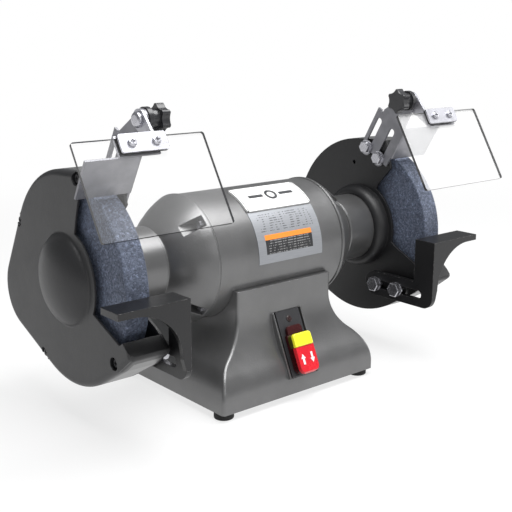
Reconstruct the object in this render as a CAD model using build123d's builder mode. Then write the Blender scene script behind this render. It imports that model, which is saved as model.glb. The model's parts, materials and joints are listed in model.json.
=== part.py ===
"""Bench grinder for two 8 inch wheels, as an assembly of separate pieces.

Frame: +X runs along the shaft to the operator's right, -Y points to the operator, +Z is up. The origin is
the centre of the base on the bench, level with the underside of the feet. Sizes are in millimetres.
The right-hand pieces are modelled, and their mirror images about the YZ plane are the left-hand ones.
Angles round the shaft are counted from the front (-Y), upwards.
"""

from build123d import *
import os
from math import acos, atan2, cos, degrees, radians, sin, sqrt

# ---------------------------------------------------------------- driving sizes
shaft_height = 155.0

# grinding wheels, and the stack that clamps them on the shaft
wheel_dia = 203.2
wheel_width = 25.4
arbor_dia = 15.875
flange_dia = 60.0
flange_thickness = 6.0
flange_relief = 1.2
blotter_dia = 63.0
blotter_thickness = 0.8
nut_across_flats = 24.0
nut_thickness = 12.0

# motor
shell_dia = 139.5
shell_wall = 3.0
shell_half_length = 89.0
bell_rim_dia = shell_dia + 2.0
bell_shoulder_x = 91.8  # where the bell starts to curve in
bell_bulge = 3.0  # how far the bell stands out from a straight cone
bell_neck_x = 132.0  # where the bell meets its neck
bell_neck_dia = 77.0
bell_wall = 5.5
collar_dia = 82.0  # the neck's collar, which the guard sits round
pocket_angles = (46, 134, 226, 314)
pocket_width = 13.5
pocket_floor_x = 94.0
through_bolt_dia = 5.0
through_bolt_circle = shell_dia - 15.0
stack_half_length = 35.0
air_gap = 0.5
rotor_dia = 82.0
slot_count = 24

# ball bearings
bearing_bore = 17.0
bearing_outer = 40.0
bearing_width = 12.0
bearing_x = 124.0  # middle of the bearing
ball_dia = 6.8
ball_count = 8
ball_gap = 0.05

# base casting
base_half_x = 111.8
base_half_y = 101.2
base_top_half_x = 68.3
base_top_half_y = 71.2
base_top_z = shaft_height - 28.0
base_wall = 5.0
base_corner_radius = 3.5
flare_top_z = shaft_height - 51.0
flare_foot_z = 17.0
flare_turn_x = 0.52  # share of the flare that is hollow, on the sides
flare_turn_y = 0.66  # and on the front and back
saddle_wall = 6.0
saddle_bolt_x = 56.0
lead_hole_x = 44.0

# feet and bench bolts
foot_height = 8.0
foot_dia = 21.6
foot_spigot_dia = 14.0
foot_spigot_length = 5.0
foot_x = 100.4
foot_y = 87.2
bench_bolt_hole_dia = 8.4
bench_bolt_hole_depth = 22.0
foot_boss_dia = 24.0

# wheel guards
guard_face_x = 187.5  # the motor side of the guard's inner plate
guard_plate_thickness = 3.0
guard_inside_gap = 7.5  # between the inner plate and the wheel
band_width = wheel_width + 6.1
cover_depth = 9.5
guard_rim_gap = 8.4  # from the wheel's rim to the outside of the guard
guard_lobe_y = 94.0
guard_lobe_drop = 32.0
guard_lobe_radius = 45.0
band_wall = 3.5
cover_wall = 2.2
cover_edge_radius = 6.0
dome_dia = 95.0
dome_height = 17.0
mouth_radius = 57.5
boss_dia = 104.0
boss_face_x = 173.0
dust_port_bore = 26.0
dust_port_dia = 30.4
dust_port_end_y = 147.0

# spark guards: u runs up the slots, w runs back across them
spark_lean = 30.0
spark_sheet = 2.5
spark_outer_x = 246.0
spark_low = 105.5
spark_high = 148.5
spark_bolt_u = 95.0
spark_bolt_w = (14.5, 38.3)
spark_bolt_dia = 8.0
spark_slot_length = 46.0
spark_slot_low = 92.5
pivot_u = 179.4
pivot_w = 12.3
ear_radius = 10.0
pivot_bolt_dia = 8.0

# eye shields
shield_lean = 30.5
shield_width = 139.5
shield_inner_x = 135.8
shield_length = 92.3
shield_thickness = 3.0
shield_top_y = -105.3
shield_top_rise = 149.3
clamp_width = 50.0
clamp_height = 18.0
clamp_inner_x = 181.0
clamp_sheet = 2.0
gasket_thickness = 2.0
arm_sheet = 2.5
shield_screw_dia = 5.0
shield_screw_pitch = 25.6

# clamp knobs
knob_dia = 29.0
knob_lobes = 6
knob_face_x = 162.0
knob_head_thickness = 9.5

# tool rests
rest_inner_x = 175.0
rest_width = 78.5
rest_front_y = -135.1
rest_depth = 28.9
rest_top_rise = 0.6
rest_table_thickness = 6.7
rest_leg_thickness = 6.0
rest_web_thickness = 6.0
rest_web_radius = 52.0
rest_foot_drop = 66.3
rest_foot_height = 30.0
rest_slot_width = 10.6
rest_slot_back_y = -38.3
rest_slot_front_y = -112.7
rest_bolt_y = (-45.8, -80.0)
rest_bolt_dia = 10.0

# switch
switch_width = 34.0
switch_length = 74.0
switch_y = -(base_half_y + base_top_half_y) / 2 - 1.95
switch_z = (flare_top_z + flare_foot_z) / 2 + 0.85
switch_lean = 24.2
switch_recess = 9.0
switch_side_gap = 2.4
cheek_thickness = 1.8
cheek_rise = 0.8
paddle_width = 26.0
key_length = 15.0

# badge and rating plate, on the front of the motor shell
label_half_width = 46.5
label_middle_x = 9.6
badge_thickness = 2.4
rating_thickness = 0.4

# clearances
running_gap = 0.05
slip_gap = 0.1
slide_gap = 0.2
bolt_gap = 0.3

# ---------------------------------------------------------------- worked out
axis_z = shaft_height
wheel_radius = wheel_dia / 2
wheel_inner_x = guard_face_x + guard_plate_thickness + guard_inside_gap
wheel_outer_x = wheel_inner_x + wheel_width
shoulder_x = wheel_inner_x - blotter_thickness - flange_thickness
outer_flange_x = wheel_outer_x + blotter_thickness
nut_x = outer_flange_x + flange_thickness
shaft_end_x = nut_x + nut_thickness + 1.3
shell_radius = shell_dia / 2
shell_inner_radius = shell_radius - shell_wall
saddle_radius = shell_radius + slip_gap
saddle_inner_radius = saddle_radius + saddle_wall
collar_radius = collar_dia / 2
guard_plate_x = guard_face_x + guard_plate_thickness
guard_seam_x = guard_plate_x + band_width
guard_cover_x = guard_seam_x + cover_depth
guard_radius = wheel_radius + guard_rim_gap
shaft_axis = Axis((0, 0, axis_z), (1, 0, 0))

os.makedirs("parts", exist_ok=True)


# ---------------------------------------------------------------- helpers
def keep(piece, name):
    """Labels a finished piece and writes it."""
    piece.label = name
    export_step(piece, f"parts/{name}.step")


def keep_both(piece, name):
    """Writes a right-hand piece and its left-hand mirror image."""
    keep(piece, name + "_right")
    keep(mirror(piece, about=Plane.YZ), name + "_left")


def keep_group(piece, name):
    """Writes a right-hand group and its mirror image as one node."""
    keep(Compound([*piece.solids(), *mirror(piece, about=Plane.YZ).solids()]), name)


def across(x):
    """The plane square to the shaft at x, centred on it: its x is +Y and its y is +Z."""
    return Plane(origin=(x, 0, axis_z), x_dir=(0, 1, 0), z_dir=(1, 0, 0))


def lengthways():
    """The plane through the shaft whose x is +X and whose y is the radius, drawn upwards."""
    return Plane(origin=(0, 0, axis_z), x_dir=(1, 0, 0), z_dir=(0, -1, 0))


def spoke(angle, radius):
    """A point in an across plane, at an angle counted from the front upwards."""
    return (-radius * cos(radians(angle)), radius * sin(radians(angle)))


def disc(x_low, x_high, radius, bore=0):
    """A disc or ring on the shaft line."""
    with BuildPart() as ring:
        with BuildSketch(across(x_low)):
            Circle(radius)
            if bore:
                Circle(bore, mode=Mode.SUBTRACT)
        extrude(amount=x_high - x_low)
    return ring.part


def rod(x_low, x_high, radius, y, z):
    """A plain rod along X, with y and z counted from the shaft line."""
    with BuildPart() as bar:
        with BuildSketch(across(x_low)):
            with Locations((y, z)):
                Circle(radius)
        extrude(amount=x_high - x_low)
    return bar.part


def hex_bolt(head_x, tip_x, y, z, thread, flats, head, washer=0, washer_thickness=0):
    """A hexagon bolt along X, whose washer face is at head_x and whose head is on the low side."""
    with BuildPart() as bolt:
        with BuildSketch(across(head_x)):
            with Locations((y, z)):
                Circle(thread / 2)
        extrude(amount=tip_x - head_x)
        if washer:
            with BuildSketch(across(head_x - washer_thickness)):
                with Locations((y, z)):
                    Circle(washer / 2)
            extrude(amount=washer_thickness)
        with BuildSketch(across(head_x - washer_thickness - head)):
            with Locations((y, z)):
                RegularPolygon(flats / 2, 6, major_radius=False)
        extrude(amount=head)
        chamfer(bolt.faces().sort_by(Axis.X)[0].edges(), length=0.8)
    return bolt.part


def cross(size):
    """The cross of a screw's recess, for a sketch."""
    with BuildSketch() as arms:
        Rectangle(size, 0.24 * size)
        Rectangle(0.24 * size, size)
    return arms.sketch


# ---------------------------------------------------------------- base
def ogee(half_foot, half_top, turn, inset=0):
    """One upright side of the flared profile: straight, hollow arc, round arc, straight."""
    foot = half_foot - inset
    top = half_top - inset
    spread = foot - top
    fall = flare_top_z - flare_foot_z
    angle = 2 * atan2(spread, fall)
    arcs = fall / sin(angle)
    hollow = arcs * turn
    turn_point = (top + hollow * (1 - cos(angle)), flare_top_z - hollow * sin(angle))
    return foot, top, turn_point


def flared_block(plane, half_foot, half_top, turn, depth, inset=0, floor=foot_height):
    """The flared profile on both sides of a plane, extruded both ways."""
    foot, top, turn_point = ogee(half_foot, half_top, turn, inset)
    with BuildPart() as block:
        with BuildSketch(plane):
            with BuildLine():
                Line((0, base_top_z), (top, base_top_z))
                Line((top, base_top_z), (top, flare_top_z))
                TangentArc((top, flare_top_z), turn_point, tangent=(0, -1))
                TangentArc((foot, flare_foot_z), turn_point, tangent=(0, 1))
                Line((foot, flare_foot_z), (foot, floor))
                Line((foot, floor), (0, floor))
                mirror(about=Plane.YZ)
            make_face()
        extrude(amount=depth, both=True)
    return block.part


def base_block(inset=0, floor=foot_height):
    """The base's outside, or its cavity when inset by the wall."""
    with BuildPart() as block:
        add(flared_block(Plane.XZ, base_half_x, base_top_half_x, flare_turn_x, 150, inset, floor))
        add(
            flared_block(Plane.YZ, base_half_y, base_top_half_y, flare_turn_y, 150, inset, floor),
            mode=Mode.INTERSECT,
        )
    return block.part


switch_plane = Plane(
    origin=(0, switch_y, switch_z),
    x_dir=(1, 0, 0),
    z_dir=(0, -cos(radians(switch_lean)), sin(radians(switch_lean))),
)
foot_places = [(x, y) for x in (-foot_x, foot_x) for y in (-foot_y, foot_y)]
pillar_x = 52.0
pillar_places = [(x, y) for x in (-pillar_x, pillar_x) for y in (-base_half_y + 9, base_half_y - 9)]
gland_x = 60.0
gland_z = 27.0
gland_bore = 9.0
gland_body_dia = 16.0
gland_flange_dia = 22.0
gland_seat_y = base_half_y - 5.0
capacitor_radius = 19.0
capacitor_length = 66.0
capacitor_y = 38.0
plate_sheet = 1.5
capacitor_z = foot_height + plate_sheet + capacitor_radius + slide_gap

with BuildPart() as base_cavity:
    add(base_block(base_wall, foot_height - 1))
    with BuildSketch(across(-200)):
        Circle(saddle_inner_radius)
    extrude(amount=400, mode=Mode.SUBTRACT)
    with BuildSketch(Plane.XY.offset(foot_height - 1)):
        with Locations(*foot_places):
            Circle(foot_boss_dia / 2)
    extrude(amount=29, mode=Mode.SUBTRACT)
    with BuildSketch(Plane.XY.offset(foot_height + plate_sheet)):
        with Locations(*pillar_places):
            Rectangle(11, 12)
    extrude(amount=24, mode=Mode.SUBTRACT)
    with BuildSketch(Plane.XZ.offset(-gland_seat_y + 8)):
        with Locations((gland_x, gland_z)):
            Circle(13)
    extrude(amount=-20, mode=Mode.SUBTRACT)
    with BuildSketch(switch_plane.offset(-switch_recess - 5)):
        Rectangle(switch_width + 2 * switch_side_gap + 10, switch_length + 10)
    extrude(amount=20, mode=Mode.SUBTRACT)

with BuildPart() as base_casting:
    add(base_block())
    corner_edges = [
        edge
        for edge in base_casting.edges()
        if abs(abs(edge.center().X) - base_half_x) < 50
        and abs(edge.center().Y) > base_top_half_y - 1
        and abs(edge.tangent_at(0.5).Z) > 0.5
    ]
    fillet(corner_edges, radius=base_corner_radius)
    add(base_cavity.part, mode=Mode.SUBTRACT)
    with BuildSketch(across(-200)):
        Circle(saddle_radius)
    extrude(amount=400, mode=Mode.SUBTRACT)
    with BuildSketch(Plane.XY.offset(foot_height)):
        with Locations(*foot_places):
            Circle(foot_spigot_dia / 2 + running_gap)
    extrude(amount=foot_spigot_length + slide_gap, mode=Mode.SUBTRACT)
    with BuildSketch(Plane.XY.offset(foot_height)):
        with Locations(*foot_places):
            Circle(bench_bolt_hole_dia / 2)
    extrude(amount=bench_bolt_hole_depth, mode=Mode.SUBTRACT)
    with BuildSketch(Plane.XY.offset(foot_height)):
        with Locations(*pillar_places):
            Circle(2)
    extrude(amount=14, mode=Mode.SUBTRACT)
    with BuildSketch(Plane.XY.offset(axis_z - saddle_inner_radius - 2)):
        with Locations((-saddle_bolt_x, 0), (saddle_bolt_x, 0)):
            Circle(3 + bolt_gap)
        with Locations((lead_hole_x, 0)):
            Circle(5)
    extrude(amount=saddle_wall + 4, mode=Mode.SUBTRACT)
    with BuildSketch(Plane.XZ.offset(-gland_seat_y)):
        with Locations((gland_x, gland_z)):
            Circle(gland_flange_dia / 2 + 0.5)
    extrude(amount=-10, mode=Mode.SUBTRACT)
    with BuildSketch(Plane.XZ.offset(-gland_seat_y - 1)):
        with Locations((gland_x, gland_z)):
            Circle(gland_body_dia / 2 + running_gap)
    extrude(amount=20, mode=Mode.SUBTRACT)
    with BuildSketch(switch_plane.offset(-switch_recess)):
        Rectangle(
            switch_width + 2 * switch_side_gap + 2 * cheek_thickness,
            switch_length + 2 * slide_gap,
        )
    extrude(amount=switch_recess + cheek_rise)
    with BuildSketch(switch_plane.offset(-switch_recess)):
        Rectangle(switch_width + 2 * switch_side_gap, switch_length + 2 * slide_gap)
    extrude(amount=30, mode=Mode.SUBTRACT)
    with BuildSketch(switch_plane.offset(-switch_recess - 20)):
        Rectangle(30, 60)
    extrude(amount=25, mode=Mode.SUBTRACT)
keep(base_casting.part, "base_casting")

with BuildPart() as rubber_feet:
    with BuildSketch(Plane.XY):
        with Locations(*foot_places):
            Circle(foot_dia / 2)
    extrude(amount=foot_height)
    fillet(rubber_feet.edges().group_by(Axis.Z)[0], radius=1.5)
    with BuildSketch(Plane.XY.offset(foot_height)):
        with Locations(*foot_places):
            Circle(foot_spigot_dia / 2)
    extrude(amount=foot_spigot_length)
    with BuildSketch(Plane.XY):
        with Locations(*foot_places):
            Circle(bench_bolt_hole_dia / 2)
    extrude(amount=foot_height + foot_spigot_length, mode=Mode.SUBTRACT)
keep(rubber_feet.part, "rubber_feet")

with BuildPart() as base_plate:
    with BuildSketch(Plane.XY.offset(foot_height)):
        Rectangle(
            2 * (base_half_x - base_wall - bolt_gap),
            2 * (base_half_y - base_wall - bolt_gap),
        )
        with Locations(*foot_places):
            Circle(foot_boss_dia / 2 + bolt_gap, mode=Mode.SUBTRACT)
            Rectangle(foot_boss_dia, foot_boss_dia, mode=Mode.SUBTRACT)
        with Locations(*pillar_places):
            Circle(2 + slide_gap, mode=Mode.SUBTRACT)
    extrude(amount=plate_sheet)
    with BuildSketch(Plane.YZ.offset(-6)):
        with Locations((capacitor_y, capacitor_z)):
            Circle(capacitor_radius + slide_gap + 1.5)
            Rectangle(60, 60, align=(Align.CENTER, Align.MAX), mode=Mode.SUBTRACT)
        for side in (-1, 1):
            with Locations((capacitor_y + side * (capacitor_radius + slide_gap + 0.75), capacitor_z)):
                Rectangle(1.5, capacitor_z - foot_height - 0.5, align=(Align.CENTER, Align.MAX))
        with Locations((capacitor_y, capacitor_z)):
            Circle(capacitor_radius + slide_gap, mode=Mode.SUBTRACT)
    extrude(amount=12)
keep(base_plate.part, "base_plate")

with BuildPart() as base_plate_screws:
    with BuildSketch(Plane.XY.offset(foot_height)):
        with Locations(*pillar_places):
            Circle(1.95)
    extrude(amount=12)
    with BuildSketch(Plane.XY.offset(foot_height - 2.4)):
        with Locations(*pillar_places):
            Circle(4)
    extrude(amount=2.4)
keep(base_plate_screws.part, "base_plate_screws")

with BuildPart() as saddle_bolts:
    bolt_top = axis_z - shell_inner_radius + 0.3
    bolt_low = axis_z - saddle_inner_radius
    for x in (-saddle_bolt_x, saddle_bolt_x):
        with BuildSketch(Plane.XY.offset(bolt_low - 4)):
            with Locations((x, 0)):
                RegularPolygon(5, 6, major_radius=False)
        extrude(amount=4)
        with BuildSketch(Plane.XY.offset(bolt_low)):
            with Locations((x, 0)):
                Circle(3)
        extrude(amount=bolt_top - bolt_low)
        with BuildSketch(Plane.XY.offset(bolt_top)):
            with Locations((x, 0)):
                RegularPolygon(5, 6, major_radius=False)
        extrude(amount=5)
keep(saddle_bolts.part, "saddle_bolts")

with BuildPart() as cord_gland:
    with BuildSketch(Plane.XZ.offset(-gland_seat_y)):
        with Locations((gland_x, gland_z)):
            Circle(gland_flange_dia / 2)
    extrude(amount=-4)
    fillet(cord_gland.edges().group_by(Axis.Y)[-1], radius=1.5)
    with BuildSketch(Plane.XZ.offset(-gland_seat_y)):
        with Locations((gland_x, gland_z)):
            Circle(gland_body_dia / 2)
    extrude(amount=12)
    with BuildSketch(Plane.XZ.offset(-gland_seat_y - 4)):
        with Locations((gland_x, gland_z)):
            Circle(gland_bore / 2)
    extrude(amount=16, mode=Mode.SUBTRACT)
keep(cord_gland.part, "cord_gland")

with BuildPart() as capacitor:
    with BuildSketch(Plane.YZ.offset(-capacitor_length / 2)):
        with Locations((capacitor_y, capacitor_z)):
            Circle(capacitor_radius)
    extrude(amount=capacitor_length)
    fillet(capacitor.edges(), radius=2)
    with BuildSketch(Plane.YZ.offset(capacitor_length / 2)):
        with Locations((capacitor_y - 6, capacitor_z), (capacitor_y + 6, capacitor_z)):
            Rectangle(1, 6)
    extrude(amount=8)
keep(capacitor.part, "capacitor")

# ---------------------------------------------------------------- motor
with BuildPart() as motor_shell:
    add(disc(-shell_half_length, shell_half_length, shell_radius, shell_inner_radius))
    chamfer(motor_shell.edges().filter_by(lambda e: e.length > 2 * 3.1 * shell_radius), length=0.9)
    with BuildSketch(Plane.XY.offset(axis_z - shell_radius - 2)):
        with Locations((-saddle_bolt_x, 0), (saddle_bolt_x, 0)):
            Circle(3 + bolt_gap)
        with Locations((lead_hole_x, 0)):
            Circle(5)
    extrude(amount=10, mode=Mode.SUBTRACT)
keep(motor_shell.part, "motor_shell")


def bell_outside():
    """The solid form of an end bell with its neck and collar."""
    rim = bell_rim_dia / 2
    neck = bell_neck_dia / 2
    with BuildPart() as form:
        with BuildSketch(lengthways()):
            with BuildLine():
                Line((shell_half_length, 0), (shell_half_length, rim - 1))
                Line((shell_half_length, rim - 1), (shell_half_length + 1, rim))
                Line((shell_half_length + 1, rim), (bell_shoulder_x, rim))
                SagittaArc((bell_shoulder_x, rim), (bell_neck_x, neck), bell_bulge)
                Line((bell_neck_x, neck), (bell_neck_x + 1.5, neck))
                Line((bell_neck_x + 1.5, neck), (bell_neck_x + 1.5, collar_radius - 1.2))
                Line((bell_neck_x + 1.5, collar_radius - 1.2), (bell_neck_x + 2.7, collar_radius))
                Line((bell_neck_x + 2.7, collar_radius), (guard_face_x, collar_radius))
                Line((guard_face_x, collar_radius), (guard_face_x, 0))
                Line((guard_face_x, 0), (shell_half_length, 0))
            make_face()
        revolve(axis=shaft_axis)
    return form.part


spigot_radius = shell_inner_radius - running_gap
spigot_bore = spigot_radius - 5
spigot_x = shell_half_length - 9
bearing_low_x = bearing_x - bearing_width / 2
bearing_high_x = bearing_x + bearing_width / 2
hub_radius = bearing_outer / 2 + 6
neck_bore = collar_radius - 10
neck_end_x = bearing_high_x + 7
plate_screw_circle = collar_radius - 5.5
plate_screw_angles = (45, 135, 225, 315)

with BuildPart() as bell_lugs:
    with BuildSketch(across(shell_half_length)):
        for angle in pocket_angles:
            with Locations(Location((*spoke(angle, through_bolt_circle / 2 + 1), 0), (0, 0, 180 - angle))):
                Rectangle(25, pocket_width + 6)
    extrude(amount=50)
    add(bell_outside(), mode=Mode.INTERSECT)

with BuildPart() as end_bell:
    add(bell_outside())
    with BuildSketch(across(spigot_x)):
        Circle(spigot_radius)
    extrude(amount=shell_half_length - spigot_x)
    with BuildSketch(lengthways()):
        with BuildLine():
            Line((spigot_x - 1, 0), (spigot_x - 1, spigot_bore))
            Line((spigot_x - 1, spigot_bore), (bell_shoulder_x + 2, spigot_bore))
            Line(
                (bell_shoulder_x + 2, spigot_bore),
                (bell_neck_x - bell_wall - 1, hub_radius + 11),
            )
            Polyline(
                (bell_neck_x - bell_wall - 1, hub_radius + 11),
                (bell_neck_x - bell_wall - 1, hub_radius),
                (bearing_low_x - 5, hub_radius),
                (bearing_low_x - 5, bearing_outer / 2),
                (bearing_high_x, bearing_outer / 2),
                (bearing_high_x, bearing_outer / 2 - 3),
                (neck_end_x, bearing_outer / 2 - 3),
                (neck_end_x, neck_bore),
                (guard_face_x, neck_bore),
                (guard_face_x, 0),
                (spigot_x - 1, 0),
            )
        make_face()
    revolve(axis=shaft_axis, mode=Mode.SUBTRACT)
    add(bell_lugs.part)
    with BuildSketch(across(pocket_floor_x)):
        for angle in pocket_angles:
            with Locations(Location((*spoke(angle, through_bolt_circle / 2 + 4.5), 0), (0, 0, 180 - angle))):
                Rectangle(24, pocket_width)
    extrude(amount=60, mode=Mode.SUBTRACT)
    with BuildSketch(across(spigot_x - 1)):
        for angle in pocket_angles:
            with Locations(spoke(angle, through_bolt_circle / 2)):
                Circle(through_bolt_dia / 2 + slide_gap)
    extrude(amount=20, mode=Mode.SUBTRACT)
    with BuildSketch(across(guard_face_x - 10)):
        for angle in plate_screw_angles:
            with Locations(spoke(angle, plate_screw_circle)):
                Circle(1.65)
    extrude(amount=10, mode=Mode.SUBTRACT)
keep_both(end_bell.part, "end_bell")

with BuildPart() as through_bolts:
    for angle in pocket_angles:
        y, z = spoke(angle, through_bolt_circle / 2)
        with BuildSketch(across(-pocket_floor_x)):
            with Locations((y, z)):
                Circle(through_bolt_dia / 2)
        extrude(amount=2 * pocket_floor_x)
        for low in (-pocket_floor_x - 4, pocket_floor_x):
            with BuildSketch(across(low)):
                with Locations((y, z)):
                    RegularPolygon(4, 6, major_radius=False)
            extrude(amount=4)
keep(through_bolts.part, "through_bolts")

rotor_radius = rotor_dia / 2
bore_radius = rotor_radius + air_gap
slot_low = bore_radius + 2.5
slot_high = slot_low + 13.5
slot_width = 5.2

with BuildPart() as stator_core:
    with BuildSketch(across(-stack_half_length)):
        Circle(shell_inner_radius - running_gap)
        Circle(bore_radius, mode=Mode.SUBTRACT)
        with PolarLocations((slot_low + slot_high) / 2, slot_count):
            Rectangle(slot_high - slot_low, slot_width, mode=Mode.SUBTRACT)
        with PolarLocations(bore_radius + 1, slot_count):
            Rectangle(5, 2, mode=Mode.SUBTRACT)
        for angle in pocket_angles:
            with Locations(spoke(angle, through_bolt_circle / 2)):
                Circle(through_bolt_dia / 2 + bolt_gap, mode=Mode.SUBTRACT)
    extrude(amount=2 * stack_half_length)
keep(stator_core.part, "stator_core")

with BuildPart() as stator_windings:
    with BuildSketch(across(-stack_half_length - 1)):
        with PolarLocations((slot_low + slot_high) / 2, slot_count):
            Rectangle(slot_high - slot_low - 2 * bolt_gap, slot_width - 2 * bolt_gap)
    extrude(amount=2 * stack_half_length + 2)
    for low in (-stack_half_length - 21, stack_half_length + 0.5):
        with BuildSketch(lengthways()):
            with Locations((low + 10.25, (slot_low + slot_high) / 2 + 0.5)):
                RectangleRounded(20.5, slot_high - slot_low + 1, 5)
        revolve(axis=shaft_axis)
keep(stator_windings.part, "stator_windings")

with BuildPart() as rotor_core:
    add(disc(-stack_half_length, stack_half_length, rotor_radius, 12))
keep(rotor_core.part, "rotor_core")

with BuildPart() as rotor_end_rings:
    for low in (-stack_half_length - 7, stack_half_length):
        add(disc(low, low + 7, rotor_radius - 2, 26))
    for low in (-stack_half_length - 15, stack_half_length + 7):
        with BuildSketch(across(low)):
            with PolarLocations(rotor_radius - 8, 9):
                Rectangle(9, 2.5)
        extrude(amount=8)
keep(rotor_end_rings.part, "rotor_end_rings")

with BuildPart() as shaft:
    with BuildSketch(lengthways()):
        with BuildLine():
            Polyline(
                (0, 0),
                (0, 12),
                (60, 12),
                (60, 10.5),
                (bearing_low_x, 10.5),
                (bearing_low_x, bearing_bore / 2),
                (shoulder_x, bearing_bore / 2),
                (shoulder_x, arbor_dia / 2),
                (shaft_end_x - 1.2, arbor_dia / 2),
                (shaft_end_x, arbor_dia / 2 - 1.2),
                (shaft_end_x, 0),
                (0, 0),
            )
        make_face()
    revolve(axis=shaft_axis)
    mirror(about=Plane.YZ)
keep(shaft.part, "shaft")

# ---------------------------------------------------------------- bearings
ball_circle_radius = (bearing_bore + bearing_outer) / 4
ball_radius = ball_dia / 2


def bearing_ring(inner, outer):
    """A bearing ring, with the groove that the balls run in."""
    with BuildPart() as ring:
        add(disc(bearing_low_x, bearing_high_x, outer, inner))
        with BuildSketch(lengthways()):
            with Locations((bearing_x, ball_circle_radius)):
                Circle(ball_radius + ball_gap)
        revolve(axis=shaft_axis, mode=Mode.SUBTRACT)
    return ring.part


keep_group(bearing_ring(bearing_bore / 2, ball_circle_radius - 1.9), "bearing_inner_rings")
keep_group(bearing_ring(ball_circle_radius + 1.9, bearing_outer / 2), "bearing_outer_rings")

with BuildPart() as bearing_balls:
    add(disc(bearing_x - 1.2, bearing_x + 1.2, ball_circle_radius + 1.1, ball_circle_radius - 1.1))
    for number in range(ball_count):
        y, z = spoke(number * 360 / ball_count, ball_circle_radius)
        with Locations((bearing_x, y, axis_z + z)):
            Sphere(ball_radius)
keep_group(bearing_balls.part, "bearing_balls")

# ---------------------------------------------------------------- wheels and what clamps them
arbor_radius = arbor_dia / 2
flange_radius = flange_dia / 2

with BuildPart() as grinding_wheel:
    add(disc(wheel_inner_x, wheel_outer_x, wheel_radius, arbor_radius + running_gap))
    chamfer(grinding_wheel.edges().filter_by(lambda e: e.length > 500), length=1.0)
keep_both(grinding_wheel.part, "grinding_wheel")

with BuildPart() as wheel_flanges:
    for low, relief in (
        (shoulder_x, wheel_inner_x - blotter_thickness - flange_relief),
        (outer_flange_x, outer_flange_x),
    ):
        add(disc(low, low + flange_thickness, flange_radius, arbor_radius + running_gap))
        with BuildSketch(across(relief)):
            Circle(flange_radius - 9)
            Circle(arbor_radius + 4, mode=Mode.SUBTRACT)
        extrude(amount=flange_relief, mode=Mode.SUBTRACT)
keep_group(wheel_flanges.part, "wheel_flanges")

with BuildPart() as wheel_blotters:
    for low in (wheel_inner_x - blotter_thickness, wheel_outer_x):
        add(disc(low, low + blotter_thickness, blotter_dia / 2, arbor_radius + running_gap))
keep_group(wheel_blotters.part, "wheel_blotters")

with BuildPart() as arbor_nuts:
    with BuildSketch(across(nut_x)):
        RegularPolygon(nut_across_flats / 2, 6, major_radius=False)
        Circle(arbor_radius + running_gap, mode=Mode.SUBTRACT)
    extrude(amount=nut_thickness)
keep_group(arbor_nuts.part, "arbor_nuts")


# ---------------------------------------------------------------- wheel guards
def guard_outline(inset=0):
    """The guard's outline, for an across plane: the hull of five circles."""
    rounds = (
        (0, 0, guard_radius),
        (guard_lobe_y, -guard_lobe_drop, guard_lobe_radius),
        (-38.5, guard_radius - 3.5, 5.5),
        (-guard_radius - 2, -51, 5.5),
        (-0.8 * guard_radius, -0.55 * guard_radius, 13),
    )
    with BuildSketch() as outline:
        for y, z, radius in rounds:
            with Locations((y, z)):
                Circle(radius - inset)
        make_hull()
    return outline.sketch


def cover_mouth():
    """The open front of the cover and the band, for an across plane."""
    corner = spoke(65, mouth_radius - 2)
    low = spoke(-24, mouth_radius + 0.5)
    lip_y = -guard_radius + 5
    with BuildSketch() as mouth:
        with BuildLine():
            Polyline((-200, 180), (-42, 180), (-42, guard_radius + 4), (-33, 83), (-28, 68), corner)
            ThreePointArc(corner, spoke(20, mouth_radius), low)
            Polyline(low, (lip_y + 6, -43), (lip_y, -39), (lip_y - 75, -104), (-200, 180))
        make_face()
    return mouth.sketch


def plate_mouth():
    """The open front of the inner plate, which has a tongue for the spark guard's bolts."""
    start = spoke(60, mouth_radius)
    low = spoke(-13, mouth_radius + 1)
    lip_y = -guard_radius + 5
    with BuildSketch() as mouth:
        with BuildLine():
            Polyline((-200, 180), (-42, 180), (-42, guard_radius + 2), (-52, 78), (-32, 56), start)
            ThreePointArc(start, spoke(20, mouth_radius), low)
            Polyline(low, (-64, -18), (lip_y + 8, -34), (lip_y, -39), (lip_y - 75, -104), (-200, 180))
        make_face()
    return mouth.sketch


lug_radius = 3.2
pocket_radius = 6.5
pocket_floor = guard_cover_x - 5
cover_screw_head = 2.8
cover_screws = [
    (-30.0, guard_radius - 5),
    spoke(155, guard_radius - lug_radius),
    spoke(239, guard_radius - lug_radius + 0.6),
    spoke(324, guard_radius - 1.5),
]
rest_pad_x = rest_inner_x + rest_leg_thickness
rest_bolt_drop = rest_foot_drop

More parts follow.
